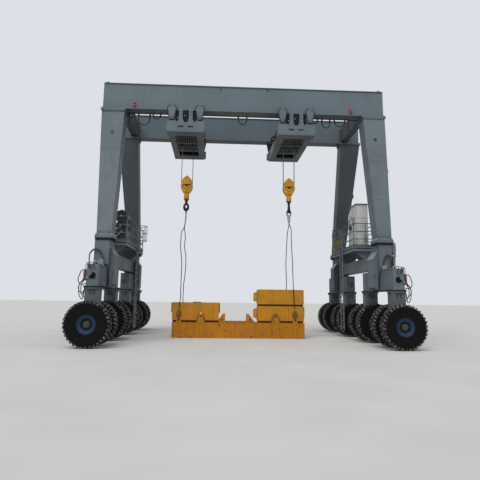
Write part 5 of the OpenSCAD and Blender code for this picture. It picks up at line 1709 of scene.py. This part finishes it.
class CRANE_OT_wheel_groups(bpy.types.Operator):
    """Slewing rings, motors, valves, hoses, pipes and ribs on the wheel groups"""
    bl_idname = "crane.wheel_groups"
    bl_label = "Wheel group fittings"

    def execute(self, context):
        ring = slewing_ring()
        fittings = end_fittings(context.scene.crane_sizes.hose)
        for name in GROUPS:
            centre = middle("bogie_" + name)
            to_group = shift(centre.x, centre.y, 0)
            outward = Matrix.Diagonal((-1 if "left" in name else 1, -1 if "rear" in name else 1, 1, 1))
            kit = Kit([copied(fittings, to_group @ outward)])
            kit += [copied(ring, to_group @ shift(0, s * 1.55, 2.094)) for s in ENDS]
            kit.mount("wheel_group_" + name, "group_" + name, "grey")
        used_up(ring, fittings)
        return {"FINISHED"}


class CRANE_OT_column_fittings(bpy.types.Operator):
    """Flange bolts, brackets, seams and bearing caps of the steered columns"""
    bl_idname = "crane.column_fittings"
    bl_label = "Column fittings"

    def execute(self, context):
        bolt = placed(hex_bolt("flange_bolt", 0.036, 0.022, "grey_column"), shift(0.305, 0, 2.036)
                      @ turn(180, "X"))
        kit = Kit(ring_of(bolt, 24, "Z"))
        for s in ENDS:
            for x in (-0.07, 0.07):
                kit.block("machine_black", "bracket", (x - 0.014, s * 0.249, 1.85),
                          (x + 0.014, s * 0.285, 1.97), 0.004)
            for x in (-0.243, 0.243):
                kit.block("grey_column", "edge_bead", (x - 0.007, s * 0.246, 1.46),
                          (x + 0.007, s * 0.257, 2.03), 0.003, 1)
            kit.rod("machine_black", "bearing_cap", *[(0, y, AXLE_Z) for y in sorted((s * 0.17, s * 0.185))],
                    0.15, 32, 0.006)
        whole = joined("column_fittings", kit)
        for name in WHEELS:
            centre = middle("column_" + name)
            piece = copied(whole, shift(centre.x, centre.y, 0))
            Kit([piece]).mount("column_fittings_" + name, "steer_" + name, "grey")
        used_up(whole)
        return {"FINISHED"}


# Hose arcs over the forks in X and Z, the first coupling's place in X and the couplings' height
FORK_ARCS = {
    "left": ([(-6.0, 2.98), (-6.04, 3.21), (-5.99, 3.47), (-5.81, 3.58), (-5.61, 3.47), (-5.52, 3.22)], -5.52,
             3.20),
    "right": ([(5.43, 3.14), (5.46, 3.30), (5.53, 3.46), (5.66, 3.54), (5.74, 3.42), (5.75, 3.20),
               (5.75, 2.96)], 5.43, 3.12),
}


class CRANE_OT_fork_hoses(bpy.types.Operator):
    """Double hose arcs with couplings over the forks, the hose bundle on the right leg and cheek trim"""
    bl_idname = "crane.fork_hoses"
    bl_label = "Fork hoses and cheeks"

    def execute(self, context):
        radius = context.scene.crane_sizes.hose / 2
        bundle = Kit()
        for e, end in zip(ENDS, ("front", "rear")):
            for side, (route, foot_x, foot_z) in FORK_ARCS.items():
                kit = Kit()
                out = math.copysign(1.0, foot_x)
                kit.hoses("cable_black", "hose_arc", [
                    [(x * (1 - step * 0.05), e * (3.93 + step), z - step * 0.6) for x, z in route]
                    for step in (0.0, 0.05)], radius * 1.25, 12)
                for x in [foot_x + 0.055 * i * out for i in range(3)]:
                    kit.put("pale_metal", rod("coupling", (x, e * 3.93, 2.985), (x, e * 3.93, foot_z + 0.02),
                                              0.026, 6, 0.003))
                kit.block("grey_leg", "manifold", (foot_x - 0.08 * out, e * 3.92 - 0.05, 2.925),
                          (foot_x + 0.29 * out, e * 3.92 + 0.05, 2.99), 0.006)
                kit.mount("fork_hoses_%s_%s" % (end, side), "group_%s_%s" % (end, side), "cable_black")
            # bundle up the outer edge of the right fork to the leg's flange
            bundle.hoses("cable_black", "bundle", [
                [(x - 0.02, e * 3.89, 3.06), (x, e * 3.89, 3.4), (x + 0.02, e * 3.91, 3.75),
                 (x, e * 3.94, 4.02)]
                for x in [5.835 + 0.034 * i for i in range(4)]], radius * 0.9)
            bundle.block("pale_metal", "bundle_clip", (5.80, e * 3.895 - 0.04, 3.48),
                         (5.98, e * 3.895 + 0.04, 3.53), 0.006)
        bundle.mount("leg_hoses", "portal", "cable_black")

        trim = Kit()
        for side, e in [(side, e) for side in ENDS for e in ENDS]:
            # seams, door line and lock of the cheek cabinets
            for z in (2.60, 3.30):
                trim.block("machine_grey", "cheek_line", (side * 5.134, e * 3.225 - 0.36, z),
                           (side * 5.144, e * 3.225 + 0.36, z + 0.012), 0.002, 1)
            trim.block("grey_leg", "cheek_door", (side * 5.17, e * 3.60 - 0.008, 2.34),
                       (side * 5.30, e * 3.60 + 0.008, 3.30), 0.006)
            trim.block("machine_black", "cheek_lock", (side * 5.17 - 0.012, e * 3.612 - 0.008, 2.62),
                       (side * 5.17 + 0.012, e * 3.612 + 0.008, 2.78), 0.004)
            # sheet on the slanted top
            lid = [(side * x, z) for x, z in ((5.125, 3.385), (5.125, 3.400), (5.318, 3.690), (5.318, 3.668))]
            trim.put("cheek_pale", front_plate("cheek_lid", lid, e * 2.84, e * 3.61, 0.003))
        trim.mount("cheek_trim", "portal", "cabinet_light")
        return {"FINISHED"}


# Walkways and machines

WALK_IN, WALK_OUT, WALK_REAR = 4.92, 6.06, 2.30


def ladder_fittings(side):
    """Cage round the walkway's opening, with the ladder's flat stringers and step noses."""
    kit = Kit()
    x = side * 4.88
    hoop_z = (FLOOR_Z + 0.30, FLOOR_Z + 0.66, FLOOR_Z + 1.0)

    def cage(share):
        """Place on the cage's half round, at a share of the way."""
        a = math.pi * share
        return x - side * 0.40 * math.sin(a), 0.33 - 0.27 * math.cos(a)

    kit.hoses("grey_dark", "cage_hoop", [[(*cage(i / 8), z) for i in range(9)] for z in hoop_z], 0.013, 8)
    for share in (0.28, 0.5, 0.72):
        kit.put("grey_dark", rod("cage_strap", (*cage(share), hoop_z[0]), (*cage(share), hoop_z[-1]), 0.011,
                                 8))
    for y in (0.10, 0.56):
        kit.block("ladder_grey", "stringer", (x - 0.03, y - 0.012, 0.39), (x + 0.03, y + 0.012, 4.02), 0.004,
                  1)
    step = painted(block("step_nose", (x - 0.022, 0.11, 0), (x + 0.022, 0.55, 0.034), 0.004, 1),
                   "ladder_grey")
    return kit + at_places(step, [(0, 0, 0.484 + 0.3 * i) for i in range(12)])


class CRANE_OT_walkway_fittings(bpy.types.Operator):
    """Gratings, kick plates, brackets, rail sockets and ladder cages of both walkways"""
    bl_idname = "crane.walkway_fittings"
    bl_label = "Walkway fittings"

    def execute(self, context):
        grey = "grey_dark"
        kit = Kit()
        for side, front in ((-1, -2.30), (1, -1.65)):
            bar = painted(block("grating", (side * (WALK_IN + 0.03), 0, FLOOR_Z),
                                (side * (WALK_OUT - 0.03), 0.012, FLOOR_Z + 0.016), 0.002, 1), grey)
            count = int((WALK_REAR - front - 0.1) / 0.06)
            kit += at_places(bar, [(0, front + 0.05 + 0.06 * i, 0) for i in range(count)])
            # kick plates, open at the ladder
            for x, y_low, y_high in ((WALK_IN + 0.004, front, 0.05), (WALK_IN + 0.004, 0.60, WALK_REAR),
                                     (WALK_OUT - 0.012, front, WALK_REAR)):
                kit.block(grey, "kick", (side * x, y_low, FLOOR_Z),
                          (side * (x + 0.008), y_high, FLOOR_Z + 0.10), 0.002, 1)
            for y in (front + 0.004, 2.288):
                kit.block(grey, "kick", (side * WALK_IN, y, FLOOR_Z),
                          (side * WALK_OUT, y + 0.008, FLOOR_Z + 0.10), 0.002, 1)
            # brackets that carry the walkway on the side beam
            outline = [(side * u, v) for u, v in ((4.98, 3.905), (6.0, 3.905), (5.80, 3.57), (5.40, 3.57))]
            for y in (front + 0.16, front + 0.9, 1.4):
                kit.put("grey_leg", front_plate("bracket", outline, y, y + 0.016, 0.003))
            # sockets at the feet of the rail posts and caps on top of them
            posts = [(WALK_OUT - 0.03, y) for y in (front + 0.03, (front + WALK_REAR) / 2, 2.27)]
            posts += [(WALK_IN + 0.03, y) for y in (front + 0.03, -0.03, 0.69, 2.27)]
            posts += [((WALK_IN + WALK_OUT) / 2, y) for y in (front + 0.03, 2.27)]
            places = [(side * x, y, FLOOR_Z) for x, y in posts]
            for low, high, r, edge in ((0, 0.09, 0.032, 0.005), (1.04, 1.075, 0.027, 0.008)):
                fitting = painted(smooth(rod("post_fitting", (0, 0, low), (0, 0, high), r, 16, edge)), grey)
                kit += at_places(fitting, places)
            kit += ladder_fittings(side)
        kit.mount("walkway_fittings", "portal", "grey_dark")
        return {"FINISHED"}


class CRANE_OT_house_fittings(bpy.types.Operator):
    """Panel strips, louvres, door with window and hinges, vent, switch box, gutter and the tan locker"""
    bl_idname = "crane.house_fittings"
    bl_label = "Electrical house fittings"

    def execute(self, context):
        paint, dark = "cabinet_light", "machine_black"
        low_x, high_x, front, rear = 5.15, 5.66, -1.50, -0.10
        kit = Kit()
        # folded edges of the front panels and their cover strips
        for x in (low_x + 0.012, 5.405, high_x - 0.012):
            kit.block(paint, "panel_strip", (x - 0.012, front - 0.012, 4.17),
                      (x + 0.012, front + 0.002, 6.05), 0.004)
        for z in (4.19, 4.80, 5.42, 6.03):
            kit.block("stripe", "panel_band", (low_x, front - 0.009, z - 0.010),
                      (high_x, front + 0.002, z + 0.010), 0.003)
            kit.block("stripe", "side_band", (low_x - 0.009, front, z - 0.010),
                      (low_x + 0.002, rear, z + 0.010), 0.003)
        slat = painted(block("louvre", (5.44, front - 0.022, 0), (5.62, front + 0.001, 0.014), 0.004), paint)
        kit += at_places(slat, [(0, 0, 4.32 + 0.034 * i) for i in range(11)])
        # door: raised panel, dark window, hinges and handle
        door = low_x - 0.024
        kit.block(paint, "door_panel", (door - 0.012, front + 0.25, 4.32), (door + 0.004, front + 0.71, 5.05),
                  0.008)
        kit.block("dark_glass", "door_window", (door - 0.010, front + 0.28, 5.16),
                  (door + 0.002, front + 0.68, 5.52), 0.006)
        for z in (4.45, 4.95, 5.50):
            kit.rod(dark, "hinge", (door - 0.010, front + 0.765, z), (door - 0.010, front + 0.765, z + 0.11),
                    0.014, 16, 0.003)
        grip = [(x, front + 0.24, z) for x, z in ((door, 4.98), (door - 0.06, 5.0), (door - 0.06, 5.14),
                                                  (door, 5.16))]
        kit.hoses(dark, "handle", [grip], 0.009, 8)
        for z in [5.27 + 0.045 * i for i in range(4)]:
            kit.block(dark, "vent_slat", (low_x - 0.066, front + 0.915, z),
                      (low_x - 0.055, front + 1.135, z + 0.022), 0.003, 1)
        kit.block(paint, "vent_hood", (low_x - 0.10, front + 0.88, 5.455), (low_x, front + 1.17, 5.475),
                  0.004)
        kit.block(dark, "switch_box", (low_x - 0.09, front + 0.86, 4.98), (low_x, front + 1.02, 5.18), 0.010)
        # gutter under the eave and lines of roof screws
        gutter = [(x, front - 0.035, z) for x, z in ((low_x - 0.04, 6.045), (low_x + 0.25, 6.042),
                                                     (high_x + 0.01, 6.045))]
        kit.hoses("machine_grey", "gutter", [gutter], 0.014, 8)
        screw = hex_bolt("roof_screw", 0.022, 0.010, "bolt")
        kit += at_places(screw, [(x, -1.50 + 0.13 * i, 6.085) for x in (5.13, 5.40, 5.65) for i in range(7)])
        # locker skin, lid, doors and round vent
        for low, high, edge in (((4.973, 1.893, 4.104), (5.357, 2.247, 4.787), 0.010),
                                ((4.96, 1.88, 4.775), (5.37, 2.25, 4.80), 0.006),
                                ((4.962, 1.93, 4.16), (4.975, 2.21, 4.74), 0.006),
                                ((5.01, 1.882, 4.16), (5.32, 1.895, 4.74), 0.006)):
            kit.block("tan", "locker", low, high, edge)
        vent = [(0.085, 1.884), (0.105, 1.884), (0.105, 1.872), (0.085, 1.872), (0.085, 1.884)]
        kit.put("rust_steel", moved(turned("locker_vent", vent, "xY", 28), 5.165, 0, 4.45))
        kit.mount("house_fittings", "portal", "cabinet_light")
        return {"FINISHED"}


# Hoses of the drive unit, from the middle of its pump housing
PUMP_HOSES = [
    [(-0.2, -1.60, 4.70), (-0.30, -1.62, 4.86), (-0.30, -1.60, 5.10), (-0.22, -1.50, 5.30)],
    [(0.2, -1.58, 4.70), (0.31, -1.60, 4.90), (0.30, -1.58, 5.15), (0.2, -1.52, 5.34)],
    [(0.1, -1.62, 4.70), (0.16, -1.66, 4.84), (0.0, -1.64, 5.06), (-0.14, -1.62, 4.96), (-0.2, -1.60, 4.72)],
    [(0.24, -1.2, 4.66), (0.33, -1.2, 4.8), (0.33, -1.1, 5.0), (0.26, -1.0, 5.2)],
    [(0.24, -0.9, 4.66), (0.34, -0.9, 4.8), (0.34, -0.8, 5.0), (0.26, -0.75, 5.22)],
]


class CRANE_OT_drive_fittings(bpy.types.Operator):
    """Straps, fan guards, grille, strut, hoses, filler caps and control panel of the drive unit"""
    bl_idname = "crane.drive_fittings"
    bl_label = "Drive unit fittings"

    def execute(self, context):
        x, front = -5.38, -1.50
        guard_y = front - 0.022
        black, grey, steel = "machine_black", "machine_grey", "pale_metal"
        kit = Kit()
        for z, r in ((4.86, 0.200), (5.28, 0.260)):
            for y in (-1.30, -1.05, -0.80):
                band = [(r - 0.004, y - 0.02), (r + 0.008, y - 0.02), (r + 0.008, y + 0.02),
                        (r - 0.004, y + 0.02), (r - 0.004, y - 0.02)]
                kit.put(grey, moved(turned("strap", band, "xY", 36), x, 0, z))
            # guard of rings and spokes over the drum's front end
            for share in (0.98, 0.72, 0.46, 0.22):
                wire = turned("guard", arc((r * share, guard_y), 0.008, 0, 360, 6), "xY", 32, 60)
                kit.put(grey if share > 0.9 else black, moved(wire, x, 0, z))
            for a in [math.pi / 8 + math.pi / 4 * i for i in range(8)]:
                inner, outer = [(x + reach * math.cos(a), guard_y, z + reach * math.sin(a))
                                for reach in (0.03, r * 0.96)]
                kit.put(grey, rod("spoke", inner, outer, 0.007, 6))
            kit.rod(steel, "boss", (x, front - 0.045, z), (x, front + 0.01, z), 0.05, 24, 0.008)
        # radiator grille and frame on the pump housing
        for bar_x in [x - 0.21 + 0.037 * i for i in range(12)]:
            kit.block(grey, "grille", (bar_x, -1.652, 4.23), (bar_x + 0.012, -1.638, 4.66), 0.003, 1)
        for z in (4.215, 4.665):
            kit.block(grey, "grille_frame", (x - 0.24, -1.655, z - 0.015), (x + 0.25, -1.638, z + 0.015),
                      0.004)
        kit.rod(steel, "strut", (x - 0.16, -1.70, 4.28), (x + 0.10, -1.70, 4.60), 0.022, 16, 0.003)
        kit.hoses(black, "pump_hose", [[(x + a, b, c) for a, b, c in route] for route in PUMP_HOSES], 0.017)
        for y in (-1.45, -1.15, -0.85):
            kit.rod(steel, "filler", (x + 0.02, y, 5.53), (x + 0.02, y, 5.575), 0.045, 20, 0.006)
        kit.block(grey, "control_panel", (x - 0.10, -1.69, 4.70), (x + 0.06, -1.60, 4.82), 0.010)
        kit.mount("drive_fittings", "portal", "machine_black")
        return {"FINISHED"}


PIECES = [CRANE_OT_frame_paint, CRANE_OT_tyres, CRANE_OT_rims, CRANE_OT_slings, CRANE_OT_rigging,
          CRANE_OT_hoist_ropes, CRANE_OT_hook_blocks, CRANE_OT_hooks, CRANE_OT_lifting_beam, CRANE_OT_weights,
          CRANE_OT_trolley_fittings, CRANE_OT_trolley_cables, CRANE_OT_girder_fittings, CRANE_OT_leg_fittings,
          CRANE_OT_wheel_groups, CRANE_OT_column_fittings, CRANE_OT_fork_hoses, CRANE_OT_walkway_fittings,
          CRANE_OT_house_fittings, CRANE_OT_drive_fittings]


class CRANE_PT_panel(bpy.types.Panel):
    """Operators and sizes of the crane, in the order in which they run"""
    bl_label = "Gantry crane"
    bl_idname = "CRANE_PT_panel"
    bl_space_type = "VIEW_3D"
    bl_region_type = "UI"
    bl_category = "Crane"

    def draw(self, context):
        layout = self.layout
        for group in (context.scene.crane_sizes, context.scene.crane_colours):
            for name in group.__annotations__:
                layout.prop(group, name)
        for operator in [CRANE_OT_stage] + PIECES:
            layout.operator(operator.bl_idname)


CLASSES = [CraneColours, CraneSizes, CRANE_OT_stage] + PIECES + [CRANE_PT_panel]


def register():
    for cls in CLASSES:
        bpy.utils.register_class(cls)
    bpy.types.Scene.crane_colours = PointerProperty(type=CraneColours)
    bpy.types.Scene.crane_sizes = PointerProperty(type=CraneSizes)


def unregister():
    del bpy.types.Scene.crane_sizes
    del bpy.types.Scene.crane_colours
    for cls in reversed(CLASSES):
        bpy.utils.unregister_class(cls)


def main():
    register()
    bpy.ops.crane.stage()
    for operator in PIECES:
        getattr(bpy.ops.crane, operator.bl_idname.split(".")[1])()


if __name__ == "__main__":
    main()
